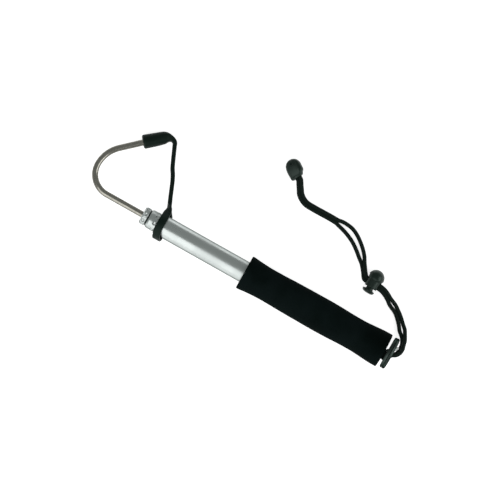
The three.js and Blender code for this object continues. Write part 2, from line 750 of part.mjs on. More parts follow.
// Cord: out of the end piece, through the lock, round the split ring's wire and back again.
// Each point is X from the grip's rear end, Y from the tubes' axis and height above the table.
const cordRoute = [
  [-166, 115.9, 7], [-161.6, 111.6, 7], [-157.6, 107.7, 7], [-151.9, 101.6, 5.4], [-146.3, 95.9, 2.8],
  [-139.9, 92.3, 1.8], [-129.8, 91.7, 1.75], [-119.8, 91.9, 1.75], [-110.8, 92.1, 1.75], [-102.1, 92.2, 1.75],
  [-94.3, 92.3, 1.75], [-86.4, 91.0, 1.75], [-79.3, 87.6, 1.75], [-73.2, 83.2, 1.75], [-67.5, 78.2, 1.9],
  [-62.9, 72.9, 3.0], [-59, 67.4, 5.2], [-55.6, 62.0, 7.2], [-52.9, 58.1, 8.2], [-51.7, 56.6, 7.9],
  [-50.8, 55.95, 7.6], [-49.5, 55.65, 7.5], [-42.9, 55.3, 7.5], [-35.9, 54.9, 7.5], [-29.9, 54.2, 7.4],
  [-24.3, 52.5, 6.3], [-18.8, 49.3, 4.2], [-13.1, 45.8, 2.4], [-7.7, 42.0, 1.8], [-2.5, 37.7, 1.75],
  [2.3, 32.8, 1.8], [6.7, 27.5, 2.8], [10.7, 21.9, 5.2], [13.9, 16.8, 9.2], [15.7, 11.6, 13.9],
  [15.3, 6.3, 18.3], [12.8, 2.1, 21.2], [8.9, -0.2, 22.0], [5.5, -2.1, 22.3], [3.0, -3.4, 21.7],
  [1.75, -4.1, 20.2], [1.5, -4.3, 18.2], [1.9, -4.1, 16.3], [3.2, -3.4, 14.8], [5.5, -2.2, 14.2],
  [8.5, -0.2, 14.1], [11.7, 2.4, 12.9], [13.5, 6.4, 10.7], [13.2, 11.0, 8.3], [11.4, 15.8, 5.7],
  [7.9, 20.5, 3.4], [3.4, 25.0, 2.0], [-1.1, 29.5, 1.75], [-5.7, 34.1, 1.75], [-10.6, 38.2, 1.8],
  [-15.6, 41.9, 2.4], [-21.1, 45.2, 4.2], [-26.2, 48.0, 6.2], [-30.9, 50.2, 7.3], [-36.1, 51.1, 7.5],
  [-43.1, 51.5, 7.5], [-49.7, 51.85, 7.5], [-51.3, 52.2, 7.3], [-52.6, 52.9, 6.9], [-54.3, 55.0, 5.8],
  [-56.9, 58.5, 4.4], [-60.2, 62.4, 3.2], [-63.2, 65.6, 2.4], [-68.1, 70.1, 1.8], [-74, 75.0, 1.75],
  [-80.8, 79.6, 1.75], [-88.3, 83.2, 1.75], [-96.3, 85.9, 1.75], [-104.8, 87.4, 1.75], [-112.8, 87.9, 1.75],
  [-121.8, 87.9, 1.75], [-130.8, 87.9, 1.75], [-140.7, 88.6, 1.8], [-148.3, 92.0, 2.4], [-154.5, 98.9, 3.8],
  [-160, 105.2, 5.4], [-164, 109.1, 5.4], [-168.4, 113.5, 5.4],
];
const cordPoints = cordRoute.map((point) => new THREE.Vector3(...point));
place(lanyard, 'lanyard_cord', wireThrough(cordPoints, cordDiameter, 8), blackCord);
lanyard.position.set(gripRear, 0, tableZ);

// The table's frame: the origin lies on the table under the middle of the gaff without its lanyard
const group = new THREE.Group();
const middle = gaffBox.getCenter(new THREE.Vector3());
gaff.add(lanyard);
gaff.position.set(-middle.x, -middle.y, -tableZ);
group.add(gaff);
group.updateMatrixWorld(true);

export default group;
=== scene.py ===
# %% [markdown]
# # A telescopic landing gaff, closed, on a pale table
#
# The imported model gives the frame: where each piece is, how big it is and what it moves with.
# This lesson dresses that frame. It makes smooth, detailed pieces in the same places and
# gives each one a finish built from nodes. Sizes are in millimetres until a helper turns
# them into metres, because a maker would measure this tool in millimetres.

import math

import bpy
import bmesh
from mathutils import Matrix, Vector, noise


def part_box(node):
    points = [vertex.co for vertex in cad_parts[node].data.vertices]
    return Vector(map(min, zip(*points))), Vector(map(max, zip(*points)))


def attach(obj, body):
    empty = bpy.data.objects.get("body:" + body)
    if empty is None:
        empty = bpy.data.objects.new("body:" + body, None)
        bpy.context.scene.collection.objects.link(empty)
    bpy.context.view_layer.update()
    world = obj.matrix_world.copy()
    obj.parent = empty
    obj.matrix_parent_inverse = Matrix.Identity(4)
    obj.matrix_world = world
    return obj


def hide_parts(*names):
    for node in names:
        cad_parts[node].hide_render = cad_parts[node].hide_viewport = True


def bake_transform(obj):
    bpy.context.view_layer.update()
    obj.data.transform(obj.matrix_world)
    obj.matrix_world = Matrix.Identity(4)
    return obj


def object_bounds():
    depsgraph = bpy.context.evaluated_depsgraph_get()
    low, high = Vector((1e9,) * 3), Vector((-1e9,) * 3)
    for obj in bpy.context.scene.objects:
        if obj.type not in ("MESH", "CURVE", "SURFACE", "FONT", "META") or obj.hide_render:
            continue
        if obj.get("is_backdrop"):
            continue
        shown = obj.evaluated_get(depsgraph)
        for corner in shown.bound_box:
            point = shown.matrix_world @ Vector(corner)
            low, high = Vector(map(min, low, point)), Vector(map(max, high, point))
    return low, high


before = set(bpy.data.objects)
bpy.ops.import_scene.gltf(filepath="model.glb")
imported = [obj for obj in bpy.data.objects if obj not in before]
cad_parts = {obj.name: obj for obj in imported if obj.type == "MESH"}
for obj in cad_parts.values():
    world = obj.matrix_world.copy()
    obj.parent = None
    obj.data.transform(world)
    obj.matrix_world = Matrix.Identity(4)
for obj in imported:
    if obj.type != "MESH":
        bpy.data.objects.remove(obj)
cad_low, cad_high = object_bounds()
MM = 0.001

# %% [markdown]
# Everything on the gaff is measured from one point: the middle of the handle tube's mouth.
# The lanyard lies on the table, so its heights are measured from the table instead.
# Two small helpers turn such measures into places in the scene.

# %% Two ways to give a place
tube_low, tube_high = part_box("outer_tube")
mouth = Vector((tube_low.x, (tube_low.y + tube_high.y) / 2, (tube_low.z + tube_high.z) / 2))


def on_gaff(x, y, z):
    return mouth + Vector((x, y, z)) * MM


def on_table(x, y, z):
    return Vector((mouth.x + x * MM, mouth.y + y * MM, z * MM))


print("mouth of the handle tube:", [round(v / MM, 2) for v in mouth])

# %% [markdown]
# ## Camera
#
# The photograph looks straight down from far away through a long lens. The gaff lies
# turned on the table, so the camera is turned round its own line of sight to match.

# %% Camera
FIELD = 0.5
LENS, SENSOR = 200, 36
VIEW_MIDDLE = on_table(92.3, 21.9, 0)
PHOTO_RIGHT = Vector((0.871, 0.491, 0))


def placed(name, data):
    """A new object of the scene with this data."""
    obj = bpy.data.objects.new(name, data)
    bpy.context.scene.collection.objects.link(obj)
    return obj


camera_data = bpy.data.cameras.new("camera")
camera_data.lens, camera_data.sensor_width, camera_data.clip_end = LENS, SENSOR, 30
camera = placed("camera", camera_data)
camera_height = mouth.z + FIELD * LENS / SENSOR
camera.location = (VIEW_MIDDLE.x, VIEW_MIDDLE.y, camera_height)
camera.rotation_euler.z = math.atan2(PHOTO_RIGHT.y, PHOTO_RIGHT.x)
bpy.context.scene.camera = camera
print("camera height:", round(camera_height, 3), "m")

# %% [markdown]
# ## Table and light
#
# The table is white. A plain white surface under this light would render pale grey, so the
# camera and mirror-like surfaces see a part of its white as its own glow, and the rest is
# real light, which keeps the gaff's shadow. A wide soft lamp stands beside the gaff and a
# smaller one beyond its butt, and the room above is dimmer. Round metal needs that
# difference: it is what draws the bright band and the grey band along the tube.
#
# Finishes and shapes are both drawn with nodes here, so the first helpers place nodes.


# %% Nodes
def connect(tree, node, inputs):
    """Give a node's inputs, by name or number, each a value or another node's socket."""
    for label, value in inputs.items():
        if isinstance(value, bpy.types.NodeSocket):
            tree.links.new(value, node.inputs[label])
        else:
            node.inputs[label].default_value = value


def add(tree, kind, inputs=None, **settings):
    """A new node with its settings and its inputs."""
    node = tree.nodes.new(kind)
    for key, value in settings.items():
        setattr(node, key, value)
    connect(tree, node, inputs or {})
    return node


def maths(tree, operation, *inputs):
    """The output of a math node whose inputs are sockets or plain numbers."""
    return add(tree, "ShaderNodeMath", dict(enumerate(inputs)), operation=operation).outputs[0]


def sees_background(tree):
    """A value that is 1 for the rays of the camera, of mirrors and of clear things."""
    rays = add(tree, "ShaderNodeLightPath").outputs
    either = maths(tree, "MAXIMUM", rays["Is Camera Ray"], rays["Is Glossy Ray"])
    return maths(tree, "MAXIMUM", either, rays["Is Transmission Ray"])


print("helpers: connect, add, maths, sees_background")

# %% Table
TABLE_GLOW = 0.76
TABLE_HALF, TABLE_TOP = 3.0, -0.0001
table_finish = bpy.data.materials.new("white_table")
table_finish.use_nodes = True
tree = table_finish.node_tree
connect(tree, tree.nodes["Principled BSDF"], {
    "Base Color": (0.82, 0.82, 0.82, 1), "Roughness": 0.9, "Emission Color": (1, 1, 1, 1),
    "Emission Strength": maths(tree, "MULTIPLY", sees_background(tree), TABLE_GLOW),
})
table_mesh = bpy.data.meshes.new("table")
corners = [(x * TABLE_HALF, y * TABLE_HALF, TABLE_TOP) for x, y in ((-1, -1), (1, -1), (1, 1), (-1, 1))]
table_mesh.from_pydata(corners, [], [(0, 1, 2, 3)])
table_mesh.materials.append(table_finish)
placed("table", table_mesh)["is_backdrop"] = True
print("table glow:", TABLE_GLOW)

# %% Lamps and room
ROOM_LIGHT = 0.31


def soft_lamp(name, place, size, power):
    """A flat lamp that faces the middle of the table."""
    data = bpy.data.lights.new(name, "AREA")
    data.shape = "RECTANGLE"
    data.size, data.size_y = size
    data.energy = power
    lamp = placed(name, data)
    lamp.location = place
    lamp.rotation_euler = (-Vector(place)).to_track_quat("-Z", "Y").to_euler()


soft_lamp("side_lamp", (-0.1, -1.05, 0.85), size=(1.5, 1.8), power=11)
soft_lamp("end_lamp", (1.2, 0.35, 0.75), size=(1.3, 0.9), power=7.5)

world = bpy.data.worlds.new("room")
bpy.context.scene.world = world
world.use_nodes = True
tree = world.node_tree
room = tree.nodes["Background"]
connect(tree, room, {"Color": (0.93, 0.98, 0.96, 1), "Strength": ROOM_LIGHT})
backdrop = add(tree, "ShaderNodeBackground", {"Color": (1, 1, 1, 1), "Strength": 1})
seen = add(tree, "ShaderNodeLightPath").outputs["Is Camera Ray"]
choose = add(tree, "ShaderNodeMixShader", {0: seen, 1: room.outputs[0], 2: backdrop.outputs[0]})
connect(tree, tree.nodes["World Output"], {"Surface": choose.outputs[0]})
bpy.context.scene.view_settings.view_transform = "Standard"
print("room light:", ROOM_LIGHT)

# %% [markdown]
# ## Helpers for meshes
#
# Most of this tool is turned on a lathe or drawn through a die: a profile spun round a line,
# or a section carried along a path. So two helpers make most pieces. Both give closed skins.
# A third one rounds the corners of a profile, because no real edge is perfectly sharp, and a
# small round is what catches the light.


# %% Round the corners of a profile
def rounded(outline, radius, steps=4, closed=True):
    """The outline with each corner cut to a small arc. Radius is one number or one per corner."""
    result = []
    count = len(outline)
    for i, corner in enumerate(outline):
        here = Vector(corner)
        wish = radius[i] if isinstance(radius, (list, tuple)) else radius
        if wish <= 0 or (not closed and i in (0, count - 1)):
            result.append(here)
            continue
        back = Vector(outline[i - 1]) - here
        on = Vector(outline[(i + 1) % count]) - here
        cut = min(wish, back.length * 0.48, on.length * 0.48)
        start, end = here + back.normalized() * cut, here + on.normalized() * cut
        for k in range(steps + 1):
            t = k / steps
            result.append(start * (1 - t) ** 2 + here * 2 * t * (1 - t) + end * t * t)
    return result


print("a square's corner rounds to", len(rounded([(0, 0), (1, 0), (1, 1), (0, 1)], 0.2)), "points")


# %% Spin a profile
def spun(outline, sides, put, closed=True, shape=None):
    """Corners and faces of a spun profile of (along, radius). Put turns (along, a, b) into a place."""
    corners, faces, rows = [], [], []
    for along, radius in outline:
        if radius < 1e-6:
            rows.append([len(corners)] * sides)
            corners.append(put(along, 0, 0))
            continue
        rows.append(list(range(len(corners), len(corners) + sides)))
        for k in range(sides):
            turn = 2 * math.pi * k / sides
            r = radius + (shape(along, turn, radius) if shape else 0)
            corners.append(put(along, r * math.cos(turn), r * math.sin(turn)))
    pairs = list(zip(rows, rows[1:])) + ([(rows[-1], rows[0])] if closed else [])
    for low, high in pairs:
        for k in range(sides):
            loop = [low[k], low[(k + 1) % sides], high[(k + 1) % sides], high[k]]
            kept = [c for i, c in enumerate(loop) if c != loop[i - 1]]
            if len(kept) > 2:
                faces.append(kept)
    return corners, faces


print("helper: spun")


# %% Carry a section along a path
def between(a, start, b, end, time):
    """The place at a time on a straight way from a, left at the start, to b, reached at the end."""
    return a * ((end - time) / (end - start)) + b * ((time - start) / (end - start))


def smooth_path(points, step):
    """Points a step apart along a smooth curve that passes through all the given points."""
    points = [Vector(p) for p in points]
    result = [points[0]]
    for i in range(len(points) - 1):
        p1, p2 = points[i], points[i + 1]
        p0 = points[i - 1] if i else p1 * 2 - p2
        p3 = points[i + 2] if i + 2 < len(points) else p2 * 2 - p1
        pieces = max(1, round((p2 - p1).length / step))
        d = [max((b - a).length, 1e-9) ** 0.5 for a, b in ((p0, p1), (p1, p2), (p2, p3))]
        t0, t1 = 0.0, d[0]
        t2, t3 = t1 + d[1], t1 + d[1] + d[2]
        for k in range(1, pieces + 1):
            t = t1 + (t2 - t1) * k / pieces
            middle = between(p1, t1, p2, t2, t)
            before = between(between(p0, t0, p1, t1, t), t0, middle, t2, t)
            after = between(middle, t1, between(p2, t2, p3, t3, t), t3, t)
            result.append(between(before, t1, after, t2, t))
    return result


def skinned(rings, hoop=False):
    """A closed skin over rings of equally many corners. A hoop's last ring joins its first."""
    count = len(rings[0])
    corners = [p for ring in rings for p in ring]
    faces = []
    for i in range(len(rings) - (0 if hoop else 1)):
        on = (i + 1) % len(rings)
        for k in range(count):
            k2 = (k + 1) % count
            faces.append((i * count + k, i * count + k2, on * count + k2, on * count + k))
    if not hoop:
        faces.append(tuple(range(count)))
        faces.append(tuple(range(len(corners) - count, len(corners))))
    return corners, faces


def swept(points, section, across=Vector((0, 0, 1))):
    """Rings of a section carried along points. Section gives (out, up) pairs for a share of the way."""
    rings = []
    last = len(points) - 1
    for i, p in enumerate(points):
        ahead = (points[min(i + 1, last)] - points[max(i - 1, 0)]).normalized()
        across = (across - ahead * across.dot(ahead)).normalized()
        out = ahead.cross(across)
        rings.append([p + out * a + across * b for a, b in section(i / last)])
    return rings


def disc(radius, sides):
    return [
        (radius * math.cos(2 * math.pi * k / sides), radius * math.sin(2 * math.pi * k / sides))
        for k in range(sides)
    ]


print("helpers: between, smooth_path, skinned, swept, disc")


# %% Shares of a way
def ramp(value, start, end):
    """0 at the start and before it, 1 at the end and after it, and a straight way between."""
    return min(1, max(0, (value - start) / (end - start)))


def ease(share):
    """The share with a soft start and a soft stop."""
    return share * share * (3 - 2 * share)


def evened(values, passes):
    """The values, each mixed with its two neighbours, as many times as there are passes."""
    for _ in range(passes):
        ends = [values[0], *values, values[-1]]
        values = [(a + b * 2 + c) / 4 for a, b, c in zip(ends, ends[1:], ends[2:])]
    return values


print("halfway up a ramp from 2 to 4:", ramp(3, 2, 4), "and eased:", ease(0.5))

# %% [markdown]
# The last helpers turn corners and faces into a finished piece. They point the faces
# outwards, smooth the shading up to a chosen angle, give the piece its finish, and tell the
# frame which body it moves with. They hide the plain solid that it stands for.


# %% Finish a piece
def plain_object(name, corners, faces):
    mesh = bpy.data.meshes.new(name)
    mesh.from_pydata([tuple(c) for c in corners], [], faces)
    skin = bmesh.new()
    skin.from_mesh(mesh)
    bmesh.ops.remove_doubles(skin, verts=skin.verts, dist=1e-7)
    bmesh.ops.recalc_face_normals(skin, faces=skin.faces)
    skin.to_mesh(mesh)
    skin.free()
    return placed(name, mesh)


def finished(obj, finish, body, node, sharp=40):
    """Give the piece its finish and smooth shading up to an angle, hang it on its body and hide its plain
    solid.
    """
    obj.data.materials.clear()
    obj.data.materials.append(finish)
    obj.data.shade_smooth()
    obj.data.set_sharp_from_angle(angle=math.radians(sharp))
    if body:
        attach(obj, body)
    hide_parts(node)
    return obj


def piece(name, skin, finish, body, node, sharp=40):
    """A finished piece from the corners and faces of its skin."""
    return finished(plain_object(name, *skin), finish, body, node, sharp)


def lathe(name, outline, finish, body, node, sides=96, sharp=40, shape=None):
    """A finished piece that is spun round the tubes' line."""
    return piece(name, spun(outline, sides, on_gaff, shape=shape), finish, body, node, sharp)


def evaluated_copy(obj, name):
    """A plain mesh of what an object's modifiers make. The object itself is removed."""
    bpy.context.view_layer.update()
    graph = bpy.context.evaluated_depsgraph_get()
    mesh = bpy.data.meshes.new_from_object(obj.evaluated_get(graph))
    bpy.data.objects.remove(obj)
    mesh.name = name
    return placed(name, mesh)


def cut_away(obj, cutter):
    """The object with the cutter's shape taken out. The cutter is removed."""
    name = obj.name
    step = obj.modifiers.new("cut", "BOOLEAN")
    step.operation, step.solver, step.object = "DIFFERENCE", "EXACT", cutter
    obj.name = name + "_blank"
    made = evaluated_copy(obj, name)
    bpy.data.objects.remove(cutter)
    return made


print("helpers: plain_object, finished, piece, lathe, evaluated_copy, cut_away")

# %% [markdown]
# ## Finishes
#
# Every finish on this tool varies a little over the surface: drawn lines in metal, pores in
# foam, spark texture in moulded plastic. One node group makes that variation for all of them.
# It mixes two tones in soft patches, adds a fine grain that can be stretched along one way,
# and puts out a colour, a roughness and a height. Each material places the group with its own
# values and keeps its own shader, so each shader's plain numbers stay on its own sockets.


# %% Group: uneven surface
def new_group(name, inputs, outputs):
    """A shader node group, the sockets that it is given and the node that puts its results out."""
    group = bpy.data.node_groups.new(name, "ShaderNodeTree")
    for label, kind, value in inputs:
        socket = group.interface.new_socket(label, in_out="INPUT", socket_type=kind)
        socket.default_value = value
    for label, kind in outputs:
        group.interface.new_socket(label, in_out="OUTPUT", socket_type=kind)
    return group, add(group, "NodeGroupInput").outputs, add(group, "NodeGroupOutput")


def mixed(tree, share, a, b, blend_type="MIX"):
    """The colour from a mix node, which has one socket of each kind under the same name."""
    mix = add(tree, "ShaderNodeMix", {"Factor": share}, data_type="RGBA", blend_type=blend_type)
    for colour, socket in zip((a, b), (s for s in mix.inputs if s.type == "RGBA")):
        tree.links.new(colour, socket)
    return next(s for s in mix.outputs if s.type == "RGBA")


COLOUR, NUMBER, ARROW = "NodeSocketColor", "NodeSocketFloat", "NodeSocketVector"
uneven_surface, given, put_out = new_group(
    "uneven_surface",
    [
        ("Main", COLOUR, (0.5, 0.5, 0.5, 1)),
        ("Second", COLOUR, (0.4, 0.4, 0.4, 1)),
        ("Patch scale", NUMBER, 40),
        ("Grain scale", NUMBER, 1000),
        ("Grain stretch", ARROW, (1, 1, 1)),
        ("Smoothest", NUMBER, 0.3),
        ("Roughest", NUMBER, 0.5),
    ],
    [("Colour", COLOUR), ("Roughness", NUMBER), ("Height", NUMBER)],
)
tree = uneven_surface
place = add(tree, "ShaderNodeTexCoord").outputs["Object"]
patches = add(tree, "ShaderNodeTexNoise", {"Vector": place, "Scale": given["Patch scale"], "Detail": 5})
contrast = add(tree, "ShaderNodeMapRange", {
    "Value": patches.outputs["Fac"], "From Min": 0.36, "From Max": 0.64,
}, interpolation_type="SMOOTHSTEP")
stretched = add(tree, "ShaderNodeVectorMath", {0: place, 1: given["Grain stretch"]}, operation="MULTIPLY")
grain = add(tree, "ShaderNodeTexNoise", {
    "Vector": stretched.outputs[0], "Scale": given["Grain scale"], "Detail": 3,
})
half = maths(tree, "MULTIPLY", contrast.outputs["Result"], 0.5)
share = maths(tree, "MULTIPLY_ADD", grain.outputs["Fac"], 0.5, half)
gloss = add(tree, "ShaderNodeMapRange", {
    "Value": share, "From Min": 0.2, "From Max": 0.8,
    "To Min": given["Smoothest"], "To Max": given["Roughest"],
})
connect(tree, put_out, {
    "Colour": mixed(tree, share, given["Main"], given["Second"]),
    "Roughness": gloss.outputs["Result"],
    "Height": grain.outputs["Fac"],
})
print("group puts out:", [socket.name for socket in put_out.inputs if socket.is_linked])


# %% Materials from the group
def surface(name, main, second, patch, grain, stretch, roughness, depth, **plain):
    """A material with the uneven surface on it. Plain holds numbers for the shader's own sockets."""
    finish = bpy.data.materials.new(name)
    finish.use_nodes = True
    tree = finish.node_tree
    texture = add(tree, "ShaderNodeGroup", {
        "Main": (*main, 1), "Second": (*second, 1), "Patch scale": patch, "Grain scale": grain,
        "Grain stretch": stretch, "Smoothest": roughness[0], "Roughest": roughness[1],
    }, node_tree=uneven_surface)
    bump = add(tree, "ShaderNodeBump", {
        "Strength": 1, "Distance": depth * MM, "Height": texture.outputs["Height"],
    })
    numbers = {label.replace("_", " "): value for label, value in plain.items()}
    connect(tree, tree.nodes["Principled BSDF"], {
        **numbers, "Base Color": texture.outputs["Colour"],
        "Roughness": texture.outputs["Roughness"], "Normal": bump.outputs["Normal"],
    })
    return finish


EVEN = (1, 1, 1)
GREEN_SHINE = (0.8, 1, 0.9, 1)
satin_aluminium = surface(
    "satin_aluminium", (0.6, 0.635, 0.625), (0.52, 0.555, 0.545), 45, 1, (70, 7000, 7000),
    (0.27, 0.4), 0.004, Metallic=1.0, Specular_Tint=(0.2, 0.22, 0.21, 1),
)
hook_steel = surface(
    "hook_steel", (0.43, 0.415, 0.368), (0.275, 0.265, 0.232), 260, 2600, EVEN,
    (0.14, 0.28), 0.005, Metallic=1.0, Specular_Tint=(0.4, 0.4, 0.37, 1),
)
dark_steel = surface(
    "dark_steel", (0.056, 0.074, 0.067), (0.03, 0.041, 0.037), 300, 2200, EVEN,
    (0.3, 0.5), 0.006, Metallic=1.0, Specular_Tint=(0.1, 0.11, 0.11, 1),
)
bright_steel = surface(
    "bright_steel", (0.44, 0.46, 0.45), (0.32, 0.34, 0.33), 350, 2400, EVEN,
    (0.24, 0.42), 0.006, Metallic=1.0,
)
black_rubber = surface(
    "black_rubber", (0.002, 0.0068, 0.0047), (0.0048, 0.0118, 0.0088), 120, 2600, EVEN,
    (0.42, 0.62), 0.02, Specular_IOR_Level=0.18, Specular_Tint=GREEN_SHINE,
)
black_plastic = surface(
    "black_plastic", (0.0024, 0.0068, 0.005), (0.0054, 0.0115, 0.0093), 200, 3200, EVEN,
    (0.31, 0.42), 0.025, Specular_IOR_Level=0.42, Specular_Tint=GREEN_SHINE,
)
pale_nylon = surface(
    "pale_nylon", (0.72, 0.71, 0.65), (0.64, 0.63, 0.56), 150, 1800, EVEN, (0.4, 0.55), 0.01,
    Subsurface_Weight=0.1, Subsurface_Scale=0.001,
)


def fed_by(finish, label):
    """The socket that feeds an input of a finish's shader."""
    return finish.node_tree.nodes["Principled BSDF"].inputs[label].links[0].from_socket


def shaded(finish, value):
    """Multiply the colour of a finish by a value."""
    tree = finish.node_tree
    colour = mixed(tree, 1, fed_by(finish, "Base Color"), value, "MULTIPLY")
    connect(tree, tree.nodes["Principled BSDF"], {"Base Color": colour})


def painted_edge_shade(finish, start, end, share):
    """Paint shade into a metal's colour where it turns away from the eye, from start to end, down to a share:
    the darker rims are painted shade.
    """
    facing = add(finish.node_tree, "ShaderNodeLayerWeight").outputs["Facing"]
    edge = add(finish.node_tree, "ShaderNodeMapRange", {
        "Value": facing, "From Min": start, "From Max": end, "To Min": 1, "To Max": share,
    })
    shaded(finish, edge.outputs["Result"])


# Painted shade: the aluminium's and the hook's colour is darkened towards their rims, where they turn away
# from the eye.
painted_edge_shade(satin_aluminium, start=0.38, end=0.6, share=0.7)
painted_edge_shade(hook_steel, start=0.1, end=0.5, share=0.5)
print("materials:", [m.name for m in bpy.data.materials])

# %% [markdown]
# Foam is different: its skin is thousands of tiny closed cells. A cell texture gives the
# pores, and a faint sheen gives the soft look of a matt surface seen at a low angle.

# %% Foam finish
FOAM_CELLS = 1700
black_foam = surface(
    "black_foam", (0.0006, 0.0022, 0.0015), (0.0062, 0.0106, 0.0108), 24, 1500, EVEN,
    (0.72, 0.95), 0.05, Specular_IOR_Level=0.02, Specular_Tint=GREEN_SHINE, Sheen_Weight=0.003,
    Sheen_Roughness=0.45,
)
tree = black_foam.node_tree
place = add(tree, "ShaderNodeTexCoord").outputs["Object"]
cells = add(tree, "ShaderNodeTexVoronoi", {"Scale": FOAM_CELLS, "Vector": place}, feature="F1")
pores = add(tree, "ShaderNodeBump", {
    "Strength": 0.8, "Distance": 0.09 * MM, "Height": cells.outputs["Distance"],
    "Normal": fed_by(black_foam, "Normal"),
})
connect(tree, tree.nodes["Principled BSDF"], {"Normal": pores.outputs["Normal"]})
print("foam cells:", FOAM_CELLS, "per metre")

# %% [markdown]
# ## The lanyard's cord
#
# The cord is one braided line. Both its ends are held in the cord end; from there it runs
# through the lock, round the split ring's wire and back. The route repeats the solid's route.
# Geometry Nodes make the braid: a round tube follows the route, and each of its points is
# pushed out by how the two families of strands pass over and under each other there. The
# height of the braid is kept on the points, and the finish uses it to paint shade into the
# valleys and a faint highlight onto the crowns.

# %% Route of the cord
CORD_DIAMETER = 3.5
cord_route = [
    (92.5, 115.9, 7.0), (96.9, 111.6, 7.0), (100.9, 107.7, 7.0), (106.6, 101.6, 5.4), (112.2, 95.9, 2.8),
    (118.6, 92.3, 1.8), (128.7, 91.7, 1.75), (138.7, 91.9, 1.75), (147.7, 92.1, 1.75), (156.4, 92.2, 1.75),
    (164.2, 92.3, 1.75), (172.1, 91.0, 1.75), (179.2, 87.6, 1.75), (185.3, 83.2, 1.75), (191.0, 78.2, 1.9),
    (195.6, 72.9, 3.0), (199.5, 67.4, 5.2), (202.9, 62.0, 7.2), (205.6, 58.1, 8.2), (206.8, 56.6, 7.9),
    (207.7, 55.95, 7.6), (209.0, 55.65, 7.5), (215.6, 55.3, 7.5), (222.6, 54.9, 7.5), (228.6, 54.2, 7.4),
    (234.2, 52.5, 6.3), (239.7, 49.3, 4.2), (245.4, 45.8, 2.4), (250.8, 42.0, 1.8), (256.0, 37.7, 1.75),
    (260.8, 32.8, 1.8), (265.2, 27.5, 2.8), (269.2, 21.9, 5.2), (272.4, 16.8, 9.2), (274.2, 11.6, 13.9),
    (273.8, 6.3, 18.3), (271.3, 2.1, 21.2), (267.4, -0.2, 22.0), (264.0, -2.1, 22.3), (261.5, -3.4, 21.7),
    (260.25, -4.1, 20.2), (260.0, -4.3, 18.2), (260.4, -4.1, 16.3), (261.7, -3.4, 14.8), (264.0, -2.2, 14.2),
    (267.0, -0.2, 14.1), (270.2, 2.4, 12.9), (272.0, 6.4, 10.7), (271.7, 11.0, 8.3), (269.9, 15.8, 5.7),
    (266.4, 20.5, 3.4), (261.9, 25.0, 2.0), (257.4, 29.5, 1.75), (252.8, 34.1, 1.75), (247.9, 38.2, 1.8),
    (242.9, 41.9, 2.4), (237.4, 45.2, 4.2), (232.3, 48.0, 6.2), (227.6, 50.2, 7.3), (222.4, 51.1, 7.5),
    (215.4, 51.5, 7.5), (208.8, 51.85, 7.5), (207.2, 52.2, 7.3), (205.9, 52.9, 6.9), (204.2, 55.0, 5.8),
    (201.6, 58.5, 4.4), (198.3, 62.4, 3.2), (195.3, 65.6, 2.4), (190.4, 70.1, 1.8), (184.5, 75.0, 1.75),
    (177.7, 79.6, 1.75), (170.2, 83.2, 1.75), (162.2, 85.9, 1.75), (153.7, 87.4, 1.75), (145.7, 87.9, 1.75),
    (136.7, 87.9, 1.75), (127.7, 87.9, 1.75), (117.8, 88.6, 1.8), (110.2, 92.0, 2.4), (104.0, 98.9, 3.8),
    (98.5, 105.2, 5.4), (94.5, 109.1, 5.4), (90.1, 113.5, 5.4),
]
cord_line = smooth_path([on_table(*p) for p in cord_route], 0.8 * MM)


def pressed_together(line, touching, gaps, loose_place):
    """The line with its strands moved against each other, but opened at the gaps by their sizes."""
    moves = []
    for i, p in enumerate(line):
        q = min((q for j, q in enumerate(line) if abs(i - j) > SAME_STRAND), key=lambda q: (q - p).length)
        apart = (q - p).length
        share = ramp(apart, TOO_FAR, NEAR_ENOUGH)
        open_by = 0
        for gap, size in gaps:
            away = (p - gap).length
            share *= ramp(away, GAP_INSIDE, GAP_OUTSIDE)
            open_by = max(open_by, size * (1 - away / GAP_REACH))
        looser = LOOSE_BY * max(0, 1 - (p - loose_place).length / LOOSE_REACH)
        together = max(0, apart - touching) / 2 * share
        moves.append((q - p).normalized() * (together - open_by - looser))
    return [p + move for p, move in zip(line, evened(moves, 6))]


def spread_along_ring(line, turn, shift):
    """The line with its turn round the ring's wire drawn out along the wire, to a flat loop."""
    low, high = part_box("split_ring")
    centre, radius = (low + high) / 2, (high.z - low.z) / 2 - COIL_HALF
    start, full, end = (mouth.x + x * MM for x in TURN_PLACES)
    result = []
    for p in line:
        around = Vector((0, p.y - centre.y, p.z - centre.z))
        if not end < p.x < start or around.length > radius + TURN_REACH:
            result.append(p)
            continue
        side = min(1, max(-1, (radius - around.length) / TURN_HALF))
        turned = ease(ramp(p.x, start, full)) * (turn * side + shift)
        moved = Matrix.Rotation(-turned, 3, "X") @ around
        result.append(Vector((p.x, centre.y + moved.y, centre.z + moved.z)))
    return result


def nudged(line, centre, steps):
    """The line moved to the photograph's right near a place, by steps of (distance, move) in mm."""
    result = []
    for p in line:
        away, by = (p - centre).length / MM, 0
        for (near, a), (far, b) in zip(steps, steps[1:]):
            if near <= away < far:
                by = a + (b - a) * (away - near) / (far - near)
        result.append(p + PHOTO_RIGHT * by * MM)
    return result


# Points this near along the line belong to the same strand
SAME_STRAND = 30
TOO_FAR, NEAR_ENOUGH = 5.5 * MM, 4.9 * MM
GAP_INSIDE, GAP_OUTSIDE, GAP_REACH = 3.5 * MM, 6.5 * MM, 4.5 * MM
LOOSE_BY, LOOSE_REACH = 0.45 * MM, 22 * MM
